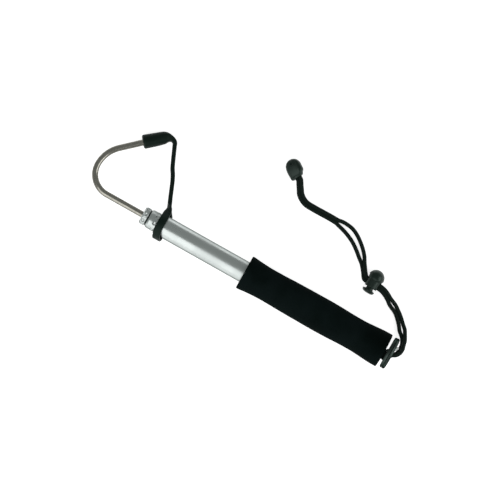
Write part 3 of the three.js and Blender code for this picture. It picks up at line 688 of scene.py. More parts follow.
# Where the cord's turn starts, is fully drawn out and ends, and how thick it is across the ring
TURN_PLACES = (268, 263, 255)
TURN_REACH, TURN_HALF, COIL_HALF = 6 * MM, 3 * MM, 1.2 * MM
CORD_LOWEST = 2.15 * MM
ring_side, end_side = on_table(259.7, 29.1, 2), on_table(92, 114, 5)
slits = [(on_table(244.2, 43.9, 2.5), 0.4 * MM), (on_table(264.6, 25.5, 2.3), 0.75 * MM)]
cord_line = pressed_together(cord_line, 3.45 * MM, slits, ring_side)
cord_line = spread_along_ring(cord_line, 0.24, 0.06)
cord_line = nudged(cord_line, end_side, [(0, 1.3), (7, 1.35), (11, 2.0), (16, 1.1), (24, 0)])
cord_line = nudged(cord_line, ring_side, [(0, 1.6), (12, 1.5), (17, 1.1), (24, 0)])
cord_line = [Vector((p.x, p.y, max(p.z, CORD_LOWEST))) for p in cord_line]
cord_length = sum((b - a).length for a, b in zip(cord_line, cord_line[1:]))
print("cord length:", round(cord_length, 4), "m through", len(cord_line), "points")


# %% Trees of Geometry Nodes
def node_tree(name, sizes):
    """A Geometry Nodes tree with named sizes, the sockets that it is given and its group output."""
    tree = bpy.data.node_groups.new(name, "GeometryNodeTree")
    tree.interface.new_socket("Geometry", in_out="INPUT", socket_type="NodeSocketGeometry")
    kinds = {bpy.types.Material: "Material", int: "Int", float: "Float"}
    for label, value in sizes.items():
        kind = next(kind for cls, kind in kinds.items() if isinstance(value, cls))
        socket = tree.interface.new_socket(label, in_out="INPUT", socket_type="NodeSocket" + kind)
        socket.default_value = value
    tree.interface.new_socket("Geometry", in_out="OUTPUT", socket_type="NodeSocketGeometry")
    return tree, add(tree, "NodeGroupInput").outputs, add(tree, "NodeGroupOutput")


def end_tree(tree, geometry, finish, put_out):
    """The end of every tree: real geometry, and the finish on it."""
    real = add(tree, "GeometryNodeRealizeInstances", {"Geometry": geometry})
    coat = add(tree, "GeometryNodeSetMaterial", {"Geometry": real.outputs["Geometry"], "Material": finish})
    connect(tree, put_out, {"Geometry": coat.outputs["Geometry"]})


def use_tree(obj, tree, sizes):
    """Put the tree on an object and set its sizes by each socket's identifier."""
    step = obj.modifiers.new(tree.name, "NODES")
    step.node_group = tree
    for item in tree.interface.items_tree:
        if item.item_type == "SOCKET" and item.in_out == "INPUT" and item.name in sizes:
            step[item.identifier] = sizes[item.name]


print("helpers: node_tree, end_tree, use_tree")

# %% Tree: braided tube
braid_sizes = {
    "Radius": 1.0, "Relief": 0.1, "Turns": 1.0, "Step": 1.0, "Strands": 8, "Sides": 40,
    "Finish": black_rubber,
}
braid, given, put_out = node_tree("braided_tube", braid_sizes)


def kept(geometry, name, value):
    """The geometry with a value kept on its points under a name."""
    keep = add(braid, "GeometryNodeStoreNamedAttribute", {
        "Geometry": geometry, "Name": name, "Value": value,
    }, data_type="FLOAT", domain="POINT")
    return keep.outputs["Geometry"]


def recalled(name):
    """The value that was kept under a name."""
    node = add(braid, "GeometryNodeInputNamedAttribute", {"Name": name}, data_type="FLOAT")
    return node.outputs["Attribute"]


def strand(position, other):
    """Height of one family of strands: round across itself, highest where it crosses over."""
    across, crest = (
        maths(braid, "SINE", maths(braid, "MULTIPLY", maths(braid, "FRACT", at), math.pi))
        for at in (position, other)
    )
    lifted = maths(braid, "MULTIPLY_ADD", crest, 0.5, 0.5)
    return maths(braid, "MULTIPLY", maths(braid, "POWER", across, 0.6), lifted)


way = add(braid, "GeometryNodeSplineParameter").outputs
resample = add(braid, "GeometryNodeResampleCurve", {
    "Curve": given["Geometry"], "Length": given["Step"],
}, mode="LENGTH")
ring = add(braid, "GeometryNodeCurvePrimitiveCircle", {
    "Resolution": given["Sides"], "Radius": given["Radius"],
}, mode="RADIUS")
tube = add(braid, "GeometryNodeCurveToMesh", {
    "Curve": kept(resample.outputs["Curve"], "along", way["Length"]),
    "Profile Curve": kept(ring.outputs["Curve"], "round", way["Factor"]),
    "Fill Caps": True,
})
count_round = maths(braid, "MULTIPLY", recalled("round"), given["Strands"])
count_along = maths(braid, "MULTIPLY", recalled("along"), given["Turns"])
first_way = maths(braid, "ADD", count_round, count_along)
second_way = maths(braid, "SUBTRACT", count_round, count_along)
which = maths(braid, "ADD", maths(braid, "FLOOR", first_way), maths(braid, "FLOOR", second_way))
odd = maths(braid, "FLOORED_MODULO", which, 2.0)
even_part = maths(braid, "MULTIPLY", strand(first_way, second_way), maths(braid, "SUBTRACT", 1.0, odd))
odd_part = maths(braid, "MULTIPLY", strand(second_way, first_way), odd)
height = maths(braid, "ADD", even_part, odd_part)
push = maths(braid, "MULTIPLY", maths(braid, "SUBTRACT", height, 0.5), given["Relief"])
facing = add(braid, "GeometryNodeInputNormal").outputs["Normal"]
outwards = add(braid, "ShaderNodeVectorMath", {0: facing, "Scale": push}, operation="SCALE")
moved = add(braid, "GeometryNodeSetPosition", {
    "Geometry": kept(tube.outputs["Mesh"], "braid", height), "Offset": outwards.outputs[0],
})
end_tree(braid, moved.outputs["Geometry"], given["Finish"], put_out)
print("braid tree:", len(braid.nodes), "nodes")

# %% [markdown]
# The cord's finish is matt polyester. The kept braid height paints shade into the valleys
# between strands and a faint highlight onto their crowns, and a fine grain stands for the
# single fibres.

# %% Cord finish and cord
black_cord = surface(
    "black_cord", (0.003, 0.0075, 0.0055), (0.0075, 0.0135, 0.011), 300, 5200, EVEN, (0.6, 0.85), 0.03,
    Specular_IOR_Level=0.15, Specular_Tint=GREEN_SHINE, Sheen_Weight=0.02, Sheen_Roughness=0.5,
)
valley = add(black_cord.node_tree, "ShaderNodeAttribute", attribute_name="braid").outputs["Fac"]
# Painted shade in the valleys between strands, and a faint painted highlight on their crowns.
painted_valley_shade = add(black_cord.node_tree, "ShaderNodeMapRange", {
    "Value": valley, "From Min": 0.15, "From Max": 0.8, "To Min": 0.35, "To Max": 1.15,
})
shaded(black_cord, painted_valley_shade.outputs["Result"])


def route_curve(name, points):
    data = bpy.data.curves.new(name, "CURVE")
    data.dimensions = "3D"
    spline = data.splines.new("POLY")
    spline.points.add(len(points) - 1)
    for point, p in zip(spline.points, points):
        point.co = (*p, 1)
    return placed(name, data)


FULLER = 0.28
line = route_curve("cord_line", cord_line)
use_tree(line, braid, {
    "Radius": (CORD_DIAMETER / 2 + FULLER) * MM, "Relief": 0.22 * MM, "Turns": 1 / (1.35 * MM),
    "Step": 0.34 * MM, "Strands": 8, "Sides": 40, "Finish": black_cord,
})
cord = evaluated_copy(line, "braided_cord")
cord.data.shade_smooth()
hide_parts("lanyard_cord")
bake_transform(cord)
print("cord:", len(cord.data.polygons), "faces")

# %% [markdown]
# ## Handle tube, sliding tubes and their bushes
#
# Thin drawn tubes. Their rims are broken by a small round, inside and outside. The tubes that
# slide out carry the same finish, because they show when the gaff is drawn out. Four pieces
# stay hidden inside: they keep their plain solids and only get a finish.

# %% Tubes
TUBE_RADIUS = 11.1
for name, start, end, inside, outside, rim, body, node in (
    ("handle_tube", 0, 254.7, 10.1, TUBE_RADIUS, 0.3, "handle", "outer_tube"),
    ("second_tube", -11.3, 226.0, 7.9, 8.8, 0.25, "middle_section", "middle_tube"),
    ("third_tube", -16.8, 204.0, 6.0, 6.8, 0.25, "inner_section", "inner_tube"),
):
    outline = rounded([(start, inside), (start, outside), (end, outside), (end, inside)], rim)
    lathe(name, outline, satin_aluminium, body, node, sides=128)
    print(name, round(end - start, 1), "mm long")

# %% Guide bushes
bush = rounded(
    [(-1.3, 8.95), (-1.3, TUBE_RADIUS), (-0.3, TUBE_RADIUS), (-0.3, 9.95), (14, 9.95), (14, 8.95)],
    [0.15, 0.3, 0.3, 0, 0.2, 0.2],
)
lathe("mouth_bush", bush, black_plastic, "handle", "outer_mouth_bush")
bush = rounded(
    [(-12.6, 6.95), (-12.6, 8.5), (-11.6, 8.5), (-11.6, 7.75), (1.0, 7.75), (1.0, 6.95)],
    [0.15, 0.3, 0.2, 0, 0.2, 0.2],
)
lathe("second_mouth_bush", bush, black_plastic, "middle_section", "middle_mouth_bush")
hidden = {
    "middle_stop_bush": pale_nylon, "inner_stop_bush": pale_nylon, "hook_plug": pale_nylon,
    "eye_nut": bright_steel,
}
for node, finish in hidden.items():
    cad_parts[node].data.materials.clear()
    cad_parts[node].data.materials.append(finish)
print("two guide bushes, and a finish for", len(hidden), "hidden solids")

# %% [markdown]
# ## Punched collars
#
# A collar and a ferrule are locked on their tubes by a ring of punch marks. A punch presses
# metal down in the middle and pushes a low lip up round the mark. So the skin's radius is
# lowered near each mark's centre and raised a little round its edge, on a fine grid.

# %% Punch marks
MARKS, MARK_SIZE, MARK_DEPTH, MARK_REACH = 8, 3.4, 0.75, 1.7
LIP_SHARE, LIP_PLACE, LIP_WIDTH = 0.28, 1.12, 0.2
FIRST_MARK = math.pi / 2 - math.pi / 16
FERRULE_FACE = -18.6
FINE_STEP = 0.18


def punched(along_centre, first_turn):
    """A shape for a spun skin: how much its radius changes at each place."""
    def change(along, turn, radius):
        if radius < MARK_SIZE * 2:
            return 0
        gap = 2 * math.pi / MARKS
        off = (turn - first_turn + gap / 2) % gap - gap / 2
        away = math.hypot(off * radius, along - along_centre) / (MARK_SIZE / 2)
        if away > MARK_REACH:
            return 0
        bowl = -MARK_DEPTH * max(0.0, 1 - away * away) ** 0.8
        lip = MARK_DEPTH * LIP_SHARE * math.exp(-((away - LIP_PLACE) / LIP_WIDTH) ** 2)
        return bowl + lip
    return change


def fine_outline(outline, radius):
    """The outline with many points on its outer wall, so that punch marks have room."""
    result = []
    for i, p in enumerate(outline):
        result.append(p)
        q = outline[(i + 1) % len(outline)]
        if abs(p[1] - radius) < 1e-3 and abs(q[1] - radius) < 1e-3:
            pieces = max(1, round(abs(q[0] - p[0]) / FINE_STEP))
            result += [(p[0] + (q[0] - p[0]) * k / pieces, radius) for k in range(1, pieces)]
    return result


def marked_lathe(name, outline, radius, body, node, shape):
    """A finished piece that is spun finely enough for the marks in its outer wall."""
    lathe(name, fine_outline(outline, radius), satin_aluminium, body, node, 300, 50, shape)


collar = rounded([(-11.3, 8.95), (-9.8, 9.7), (-1.6, 9.7), (-1.6, 8.95)], [0, 0.5, 0.35, 0.1])
marks = punched(-3.9, FIRST_MARK - math.radians(20))
marked_lathe("punched_collar", collar, 9.7, "middle_section", "middle_collar", marks)
ferrule = rounded(
    [(FERRULE_FACE, 3.15), (FERRULE_FACE, 7.7), (-17.4, 8.9), (-12.9, 8.9), (-12.9, 6.95), (-17.1, 6.95),
     (-17.1, 3.15)],
    [0.15, 0.35, 0.45, 0.4, 0.1, 0.1, 0.1],
)
marks = punched(-15.5, FIRST_MARK)
marked_lathe("punched_ferrule", ferrule, 8.9, "inner_section", "hook_ferrule", marks)
print("collar and ferrule, with", MARKS, "marks each")

# %% [markdown]
# ## Foam grip
#
# A tube of closed-cell foam, ground to shape: a flare at each end, two waists and a low swell
# between them. The swell's shares repeat the solid's. A smooth curve through them gives the
# profile, and a very low, slow waviness keeps the skin from looking machined.

# %% Foam grip
GRIP_START, GRIP_LENGTH, GRIP_BORE = 98.2, 160.3, 11.4
FLARE, WAIST, GRIP_CORNER = 36.1 / 2, 33 / 2, 1.8
swell_shares = [
    (0.016, 1), (0.055, 0.55), (0.1, 0.18), (0.15, 0.02), (0.2, 0), (0.25, 0.06), (0.31, 0.27),
    (0.38, 0.42), (0.48, 0.5), (0.57, 0.55), (0.64, 0.4), (0.7, 0.12), (0.76, 0), (0.82, 0.02),
    (0.865, 0.33), (0.91, 0.68), (0.95, 0.95), (0.98, 1),
]
wall = smooth_path(
    [(GRIP_START + a * GRIP_LENGTH, WAIST + s * (FLARE - WAIST), 0) for a, s in swell_shares], 1.0
)
grip_end = GRIP_START + GRIP_LENGTH
front = rounded([(GRIP_START, GRIP_BORE), (GRIP_START, FLARE), (wall[0].x, FLARE)], GRIP_CORNER, 8, False)
rear = rounded([(wall[-1].x, FLARE), (grip_end, FLARE), (grip_end, GRIP_BORE)], 0.7, 5, False)
profile = [(p.x, p.y) for p in front[:-1] + wall + rear[1:]]


def foam_wave(along, turn, radius):
    """A slow low wave and a finer one on the outside. The bore stays round."""
    if radius < 15:
        return 0
    at = Vector((along * 0.06, math.cos(turn) * 1.1, math.sin(turn) * 1.1))
    return 0.14 * noise.noise(at) + 0.03 * noise.noise(at * 6)


lathe("grip", profile, black_foam, "handle", "foam_grip", sides=144, sharp=60, shape=foam_wave)
print("grip profile points:", len(profile))

# %% [markdown]
# ## Butt end: plug and eye bolt
#
# The plug is a turned flange with a short spigot. The eye is a forged wire loop on a bent
# neck. Real forgings have soft fillets where loop and neck meet, so the loop, neck and shank
# are joined by a fine remesh and then smoothed, which melts the joint together.

# %% Butt plug
plug = rounded(
    [(240, 1.75), (240, 9.95), (255, 9.95), (255, TUBE_RADIUS), (258, TUBE_RADIUS), (258, 1.75)],
    [0.1, 0.6, 0, 0.3, 0.6, 0.3],
)
lathe("butt_cap", plug, black_plastic, "handle", "butt_plug")
print("butt cap")

# %% Eye
EYE_WIRE, EYE_HOLE = 3, 9.2
NECK_X, EYE_REACH, EYE_RISE = 259.2, 7.1, 0.5
WIRE_SIDES, LOOP_STEPS, MELT_STEP = 28, 96, 0.17
eye_turn = math.radians(40)
neck = Vector((NECK_X, 0, 0))
eye_radius = (EYE_HOLE + EYE_WIRE) / 2
eye_way = Vector((math.cos(eye_turn), math.sin(eye_turn), 0))
eye_side = Vector((-eye_way.y, eye_way.x, 0))
eye_centre = neck + eye_way * EYE_REACH + Vector((0, 0, EYE_RISE))
loop_rings = []
for k in range(LOOP_STEPS):
    turn = 2 * math.pi * k / LOOP_STEPS
    outward = eye_way * math.cos(turn) + Vector((0, 0, math.sin(turn)))
    loop_rings.append([
        on_gaff(*(eye_centre + outward * (eye_radius + a) + eye_side * b))
        for a, b in disc(EYE_WIRE / 2, WIRE_SIDES)
    ])
eye_inner = eye_centre - (eye_centre - neck).normalized() * eye_radius
stem = [(x, 0, 0) for x in (235.6, 246, 256, 258.4)] + [neck + eye_way * 0.6, eye_inner]
stem = [on_gaff(*p) for p in smooth_path(stem, 0.6)]
stem_rings = swept(stem, lambda share: disc(EYE_WIRE / 2 * MM, WIRE_SIDES))
blank = plain_object("eye_blank", *skinned(loop_rings, hoop=True))
stem_blank = plain_object("stem_blank", *skinned(stem_rings))
both = bmesh.new()
both.from_mesh(blank.data)
both.from_mesh(stem_blank.data)
both.to_mesh(blank.data)
both.free()
bpy.data.objects.remove(stem_blank)
melt = blank.modifiers.new("melt", "REMESH")
melt.mode, melt.voxel_size = "VOXEL", MELT_STEP * MM
relax = blank.modifiers.new("relax", "SMOOTH")
relax.factor, relax.iterations = 0.5, 10
eye = evaluated_copy(blank, "eye")
finished(eye, bright_steel, "handle", "eye_bolt", 180)
print("eye:", len(eye.data.polygons), "faces")

# %% [markdown]
# ## Split ring
#
# One flat-sided wire wound a little under twice round. Its two turns lie side by side and the
# wire steps from one turn to the other in one short place, where its two ends stop. The step
# is put low on the ring, away from the side that the photograph shows.

# %% Split ring
RING_RADIUS, RING_LEAN = (33 - 2.4) / 2, math.radians(-2.5)
RING_POINTS, COIL_SIDES = 240, 36
# Degrees round the ring: the wire's first end, how far it winds, and where it steps across
WIRE_START, WIRE_SWEEP, STEP_START, STEP_END = 24, 672, 338, 382
COIL_PLACE, COIL_ACROSS, COIL_UP = 1.12, 1.09, 1.2
TOP_SWELL, TOP_ROUND = 0.23, 0.42
WIRE_END, WIRE_END_SHARE = 0.82, 0.006
ring_x, ring_offset = eye_centre.x - 0.3, 0.8
ring_rise = RING_RADIUS - math.sqrt(RING_RADIUS**2 - (eye_centre.y - ring_offset) ** 2)
step_at = math.radians(62)
ring_points, coil_side, coil_swell, coil_height = [], [], [], []
for k in range(RING_POINTS + 1):
    turn = math.radians(WIRE_START + WIRE_SWEEP * k / RING_POINTS)
    around_ring = turn + step_at
    swell = 1 + TOP_SWELL * (1 - math.cos(around_ring))
    coil_side.append(2 * ease(ramp(turn, math.radians(STEP_START), math.radians(STEP_END))) - 1)
    coil_swell.append(swell)
    coil_height.append(TOP_ROUND * min(1, 1 - math.cos(around_ring)))
    side = COIL_PLACE * swell * coil_side[-1]
    local = Vector((side, RING_RADIUS * math.sin(around_ring), RING_RADIUS * (1 - math.cos(around_ring))))
    tilted = Matrix.Rotation(RING_LEAN, 3, "Y") @ local
    ring_points.append(on_gaff(tilted.x + ring_x, tilted.y + ring_offset, tilted.z - ring_rise))


def bulged(value, power):
    """A sine or cosine raised to a power, with its sign kept: under 1 it makes a circle squarer."""
    return math.copysign(abs(value) ** power, value)


def coil_section(share):
    """Flat towards the other coil and round outside, a little narrower at both ends of the wire."""
    i = round(share * RING_POINTS)
    size = WIRE_END + (1 - WIRE_END) * min(1, min(share, 1 - share) / WIRE_END_SHARE)
    row = []
    for c, s in disc(1, COIL_SIDES):
        # From 0.36, nearly flat, on the side of the other coil to 1, round, on the outside
        power = 0.68 + 0.32 * coil_side[i] * math.copysign(1, c)
        across = bulged(c, power) * COIL_ACROSS
        from_middle = abs(COIL_PLACE * coil_side[i] + across) / (COIL_PLACE + COIL_ACROSS)
        up = bulged(s, power) * COIL_UP * (1 + coil_height[i] * (1 - from_middle))
        row.append((up * size * MM, across * coil_swell[i] * size * MM))
    return row


ring_rings = swept(ring_points, coil_section, Matrix.Rotation(RING_LEAN, 3, "Y") @ Vector((1, 0, 0)))
piece("ring_coils", skinned(ring_rings), dark_steel, "ring", "split_ring", 50)
print("ring wire:", len(ring_rings), "sections")

# %% [markdown]
# ## Hook
#
# Round steel wire, bent cold and ground to a long point. The path is a straight shank, a
# quarter circle, a wider arc and a straight end, as in the solid. The hook, its guard and the
# band lie a little rolled about the tube's line, because the guard rests on the table beside
# the thicker grip.


# %% Side of the hook
UPPER_TURN, UPPER_RADIUS, LOWER_RADIUS = math.radians(47), 33.2, 22.8
SHANK_OUTSIDE, SHANK_INSIDE, ARM_LENGTH = 41.3, 17.6, 44.3
GUARD_PLACE, GUARD_LENGTH, GUARD_SIZE = 24.7, 24, 12.2
bend_x = FERRULE_FACE - SHANK_OUTSIDE
way = Vector((math.sin(UPPER_TURN), math.cos(UPPER_TURN), 0))
left = Vector((-way.y, way.x, 0))
upper_centre = Vector((bend_x - LOWER_RADIUS + UPPER_RADIUS, LOWER_RADIUS, 0))
bend_end = upper_centre + UPPER_RADIUS * Vector((-math.cos(UPPER_TURN), math.sin(UPPER_TURN), 0))
guard_mouth = bend_end + way * GUARD_PLACE
# The guard touches the table near its far end, at these shares of its length
rest_y = (guard_mouth + way * 0.96 * GUARD_LENGTH - left * 0.017 * GUARD_LENGTH).y
roll = -math.asin((FLARE - GUARD_SIZE / 2) / rest_y)


def on_hook_side(p):
    turned = Matrix.Rotation(roll, 3, "X") @ Vector(p)
    return on_gaff(*turned)


print("roll of the hook's side:", round(math.degrees(roll), 2), "degrees")

# %% Hook wire
WIRE_RADIUS, POINT_RADIUS, POINT_LENGTH = 3.12, 0.16, 9
SHANK_STEPS, LOWER_STEPS, UPPER_STEPS, ARM_STEPS, POINT_STEPS = 12, 30, 24, 10, 14
shank_end = FERRULE_FACE + SHANK_INSIDE
straight = ARM_LENGTH - POINT_LENGTH
hook_path = [
    Vector((shank_end + (bend_x - shank_end) * k / SHANK_STEPS, 0, 0)) for k in range(SHANK_STEPS)
]
for k in range(LOWER_STEPS + 1):
    turn = k / LOWER_STEPS * math.pi / 2
    hook_path.append(Vector((bend_x - LOWER_RADIUS * math.sin(turn), LOWER_RADIUS * (1 - math.cos(turn)), 0)))
for k in range(1, UPPER_STEPS + 1):
    turn = k / UPPER_STEPS * UPPER_TURN
    hook_path.append(upper_centre + UPPER_RADIUS * Vector((-math.cos(turn), math.sin(turn), 0)))
hook_path += [bend_end + way * straight * k / ARM_STEPS for k in range(1, ARM_STEPS + 1)]
wire_points = len(hook_path)
hook_path += [
    bend_end + way * (straight + POINT_LENGTH * k / POINT_STEPS) for k in range(1, POINT_STEPS + 1)
]


def hook_section(share):
    index = round(share * (len(hook_path) - 1))
    ground = max(0, (index - wire_points + 1) / POINT_STEPS)
    return disc((WIRE_RADIUS - (WIRE_RADIUS - POINT_RADIUS) * ground**1.15) * MM, 48)


hook_rings = swept([on_hook_side(p) for p in hook_path], hook_section)
piece("hook_wire", skinned(hook_rings), hook_steel, "inner_section", "hook", 60)
print("hook:", len(hook_rings), "sections")

# %% [markdown]
# ## Rubber guard
#
# A moulded cap that grips the point. From its mouth the skin runs down a deep bore; outside it
# is a round cap that flattens and bends over into the band. A fine raised line along both
# sides is where the two halves of the mould met.

# %% Guard's spine
BAND_WIDTH, BAND_THICKNESS = 7.8, 2.15
# Each row: forward and sideways place, then the two shares
tail_shares = [
    (0, 0.02, 0, 0), (0.03, 0.02, 0, 0), (0.5, 0, 0.35, 0), (0.96, -0.017, 1, 0),
    (1.1, -0.06, 1, 0.48), (1.2, -0.126, 1, 0.86), (1.264, -0.209, 1, 0.97), (1.29, -0.317, 1, 1),
    (1.261, -0.409, 1, 1),
]
spine = [guard_mouth + way * a * GUARD_LENGTH + left * b * GUARD_LENGTH for a, b, _, _ in tail_shares]
fine_spine = smooth_path(spine[1:], 0.5)


def shares_at(p):
    """How far the nearest stretch of the spine is on its way to the cap's end and to the band."""
    best = None
    for i in range(1, len(spine) - 1):
        a, b = spine[i], spine[i + 1]
        t = min(1, max(0, (p - a).dot(b - a) / (b - a).length_squared))
        gap = (p - (a + (b - a) * t)).length
        if best is None or gap < best[0]:
            best = (gap, [u + (v - u) * t for u, v in zip(tail_shares[i][2:], tail_shares[i + 1][2:])])
    return best[1]


shares_to_end, shares_to_band = (evened(shares, 20) for shares in zip(*map(shares_at, fine_spine)))
print("guard's spine:", len(fine_spine), "points")

# %% Guard
SIDES = 64
UP = Vector((0, 0, 1))
MOUTH_RADIUS, CAP_RADIUS, BORE, SEAM = 7.2, 6.45, 3.3, 0.12
TABLE_SKIN = 0.02 * MM
bore_rows = [
    (19.9, 0.8), (19.7, 2.4), (19.0, BORE), (14, BORE), (8, BORE), (3, BORE), (0.9, BORE),
    (0.4, BORE + 0.12), (0.12, BORE + 0.42), (0, BORE + 0.9),
]
lip_insets = {-3: 2.0, -2: 1.15, -1: 0.7, 0: 0.38, 1: 0.16, 2: 0.04}
lip_depths = {-3: 0.72, -2: 0.58, -1: 0.3}


def above_table(skin):
    """The skin with what dips into the table lifted to just above it."""
    corners, faces = skin
    return [Vector((p.x, p.y, max(p.z, TABLE_SKIN))) for p in corners], faces


guard_rings = []
for depth, radius in bore_rows:
    centre, side = guard_mouth + way * depth, way.cross(UP)
    guard_rings.append([centre + side * a + UP * b for a, b in disc(radius, SIDES)])
for i in range(-3, len(fine_spine)):
    index = max(i, 0)
    ahead = (fine_spine[min(index + 1, len(fine_spine) - 1)] - fine_spine[max(index - 1, 0)]).normalized()
    side = ahead.cross(UP)
    to_end, to_band = shares_to_end[index], shares_to_band[index]
    size = MOUTH_RADIUS + (CAP_RADIUS - MOUTH_RADIUS) * to_end
    half_wide = size + (BAND_THICKNESS + 0.15 - size) * to_band - lip_insets.get(i, 0)
    half_high = size + (BAND_WIDTH / 2 - size) * to_band - lip_insets.get(i, 0)
    power = 2 / (2 + 2.6 * to_band)
    middle = fine_spine[index] - way * lip_depths.get(i, 0)
    row = []
    for c, s in disc(1, SIDES):
        seam = SEAM * math.exp(-((s / 0.07) ** 2)) * (1 - to_band)
        out = bulged(c, power) * half_wide + math.copysign(seam, c)
        row.append(middle + side * out + UP * bulged(s, power) * half_high)
    guard_rings.append(row)
skin = above_table(skinned([[on_hook_side(p) for p in row] for row in guard_rings]))
piece("point_guard", skin, black_rubber, "guard", "tip_guard", 60)
print("guard rows:", len(guard_rings))

# %% [markdown]
# ## Band
#
# A flat rubber band, laid double. From the guard it runs down to an apex above the handle
# tube, where its two layers part, twist a quarter turn and pass round the tube. The stations
# repeat the solid's. Between them the place and the twist follow smooth curves, and the
# section gets rounded edges.


# %% Band's stations
apex = Vector((0.1, 21.9, 0))
tail = spine[-1]
tail_way = (tail - spine[-2]).normalized()
solid_start = tail + tail_way * 0.3
band_run = apex - solid_start
band_side = -band_run.normalized().cross(UP)
bow_shares = [
    (0, 0), (0.12, -0.003), (0.24, -0.005), (0.39, -0.004), (0.48, 0.008), (0.58, 0.013),
    (0.73, 0.009), (0.87, 0.003),
]
fork_shares = [
    (0, 0, -0.414, -0.124), (0.23, 0.28, -0.183, 0), (0.47, 0.61, -0.032, 0.136), (0.71, 0.87, 0, 0.385),
]
loop_shares = [
    (0, 0, 0), (0.06, 0, 0), (0.12, 0, 0), (0.18, 0, 0), (0.24, 0, 0.05), (0.3, 0.04, 0.15),
    (0.36, 0.13, 0.35), (0.42, 0.22, 0.65), (0.48, 0.32, 0.85), (0.54, 0.43, 0.85), (0.6, 0.52, 0.6),
    (0.66, 0.54, 0.3), (0.72, 0.52, 0.1), (0.78, 0.48, 0), (0.84, 0.45, 0), (0.9, 0.42, 0),
    (0.95, 0.4, 0), (1, 0.4, 0),
]
LOOP_X, LOOP_GAP, PITCH = 2.2, 0.3, BAND_THICKNESS + 0.02
loop_radius = TUBE_RADIUS + LOOP_GAP + BAND_THICKNESS / 2
tangent_turn = math.acos(loop_radius / apex.y)
loop_stations = []
for share, shift, slack in loop_shares:
    turn = tangent_turn + (2 * math.pi - 2 * tangent_turn) * share
    reach = loop_radius + slack * BAND_THICKNESS
    place = Vector((LOOP_X + shift * BAND_WIDTH, reach * math.cos(turn), reach * math.sin(turn)))
    loop_stations.append((place, 1))


def strap_layer(side):
    rows = []
    for share, bow in bow_shares:
        start = solid_start if share else tail + tail_way * 0.08
        sideways = bow * band_run.length + side * PITCH / 2
        rows.append((start + (apex - start) * share + band_side * sideways, 0))
    return rows


def fork_layer(side):
    end = loop_stations[0 if side < 0 else -1][0]
    rows = []
    for share, twist, first, second in fork_shares:
        x = LOOP_X + (first if side < 0 else second) * BAND_WIDTH
        rows.append((Vector((x, apex.y + (end.y - apex.y) * share, end.z * share)), twist))
    return rows


stations = strap_layer(-1) + fork_layer(-1) + loop_stations + fork_layer(1)[::-1] + strap_layer(1)[::-1]
print("band stations:", len(stations))

# %% Band's skin
BAND_STEP = 0.9
band_line = smooth_path([p for p, _ in stations], BAND_STEP)
twists = [stations[0][1]]
for (a, twist_a), (b, twist_b) in zip(stations, stations[1:]):
    pieces = max(1, round((b - a).length / BAND_STEP))
    twists += [twist_a + (twist_b - twist_a) * k / pieces for k in range(1, pieces + 1)]
half_w, half_t = BAND_WIDTH / 2, BAND_THICKNESS / 2
section = rounded([(-half_w, -half_t), (half_w, -half_t), (half_w, half_t), (-half_w, half_t)], 0.55, 4)
band_rings = []
for i, (p, twist) in enumerate(zip(band_line, evened(twists, 3))):
    ahead = (band_line[min(i + 1, len(band_line) - 1)] - band_line[max(i - 1, 0)]).normalized()
    wide = Vector((math.sin(twist * math.pi / 2), 0, math.cos(twist * math.pi / 2)))
    wide = (wide - ahead * wide.dot(ahead)).normalized()
    thick = ahead.cross(wide)
    band_rings.append([on_hook_side(p + wide * a + thick * b) for a, b in section])
band = piece("rubber_band", skinned(band_rings), black_rubber, None, "guard_band", 60)
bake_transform(band)
print("band:", len(band_rings), "sections")

# %% [markdown]
# ## Cord lock
#
# A ball-ended barrel with a slot right through it for both strands. A spring pushes the
# plunger out, and the plunger's own slot then pinches the cord. The barrel and the plunger
# are spun, and the slots are cut with a shape whose mouth is wider, so the slot has an eased
# edge. The spring is a Geometry Nodes spiral.


# %% Place of the lock
LOCK_PLACE, LOCK_TURN, LOCK_FLAT = (216.1, 53.3, 7.5), math.radians(-3), -7.4
STRANDS_APART = 3.8
SLOT_HALF = (STRANDS_APART + CORD_DIAMETER) / 2 + 0.65
SLOT_HIGH = CORD_DIAMETER / 2 + 0.6


def on_lock(x, y, z):
    turned = Matrix.Rotation(LOCK_TURN, 3, "Z") @ Vector((x, y, z))
    return on_table(*(a + b for a, b in zip(turned, LOCK_PLACE)))


def lock_axis(along, a, b):
    """A place on the spun lock. It lies on the table, so its underside is flat there."""
    return on_lock(a, along, max(b, LOCK_FLAT))


def cutter_between(rows, put):
    """A straight cutter with rounded edges through rows of (way, low, high, bottom, top)."""
    rings = []
    for x, low, high, bottom, top in rows:
        corners = rounded([(low, bottom), (high, bottom), (high, top), (low, top)], 0.9, 4)
        rings.append([put(x, y, z) for y, z in corners])
    return plain_object("cutter", *skinned(rings))


def lock_slot(low, reach, ease_by=0.55, flare=0):
    """A cutter that is wider at both mouths, and flared where the cord turns."""
    rows = []
    # Each row: place along the slot, how much wider it is there, and its share of the flare
    for x, more, turned in (
        (-reach - 1, 1.6, 1.0), (-reach + 0.9, ease_by, 0.8), (-reach + 1.7, 0, 0.66),
        (-reach + 4.5, 0, 0), (reach - 1.7, 0, 0), (reach - 0.9, ease_by, 0), (reach + 1, 1.6, 0),
    ):
        side, floor = max(more, turned * flare), max(more, turned * flare * 0.7)
        rows.append((x, low - more, SLOT_HALF + side, -SLOT_HIGH - floor, SLOT_HIGH + more))
    return cutter_between(rows, on_lock)


print("slot:", round(SLOT_HALF * 2, 2), "by", round(SLOT_HIGH * 2, 2), "mm")

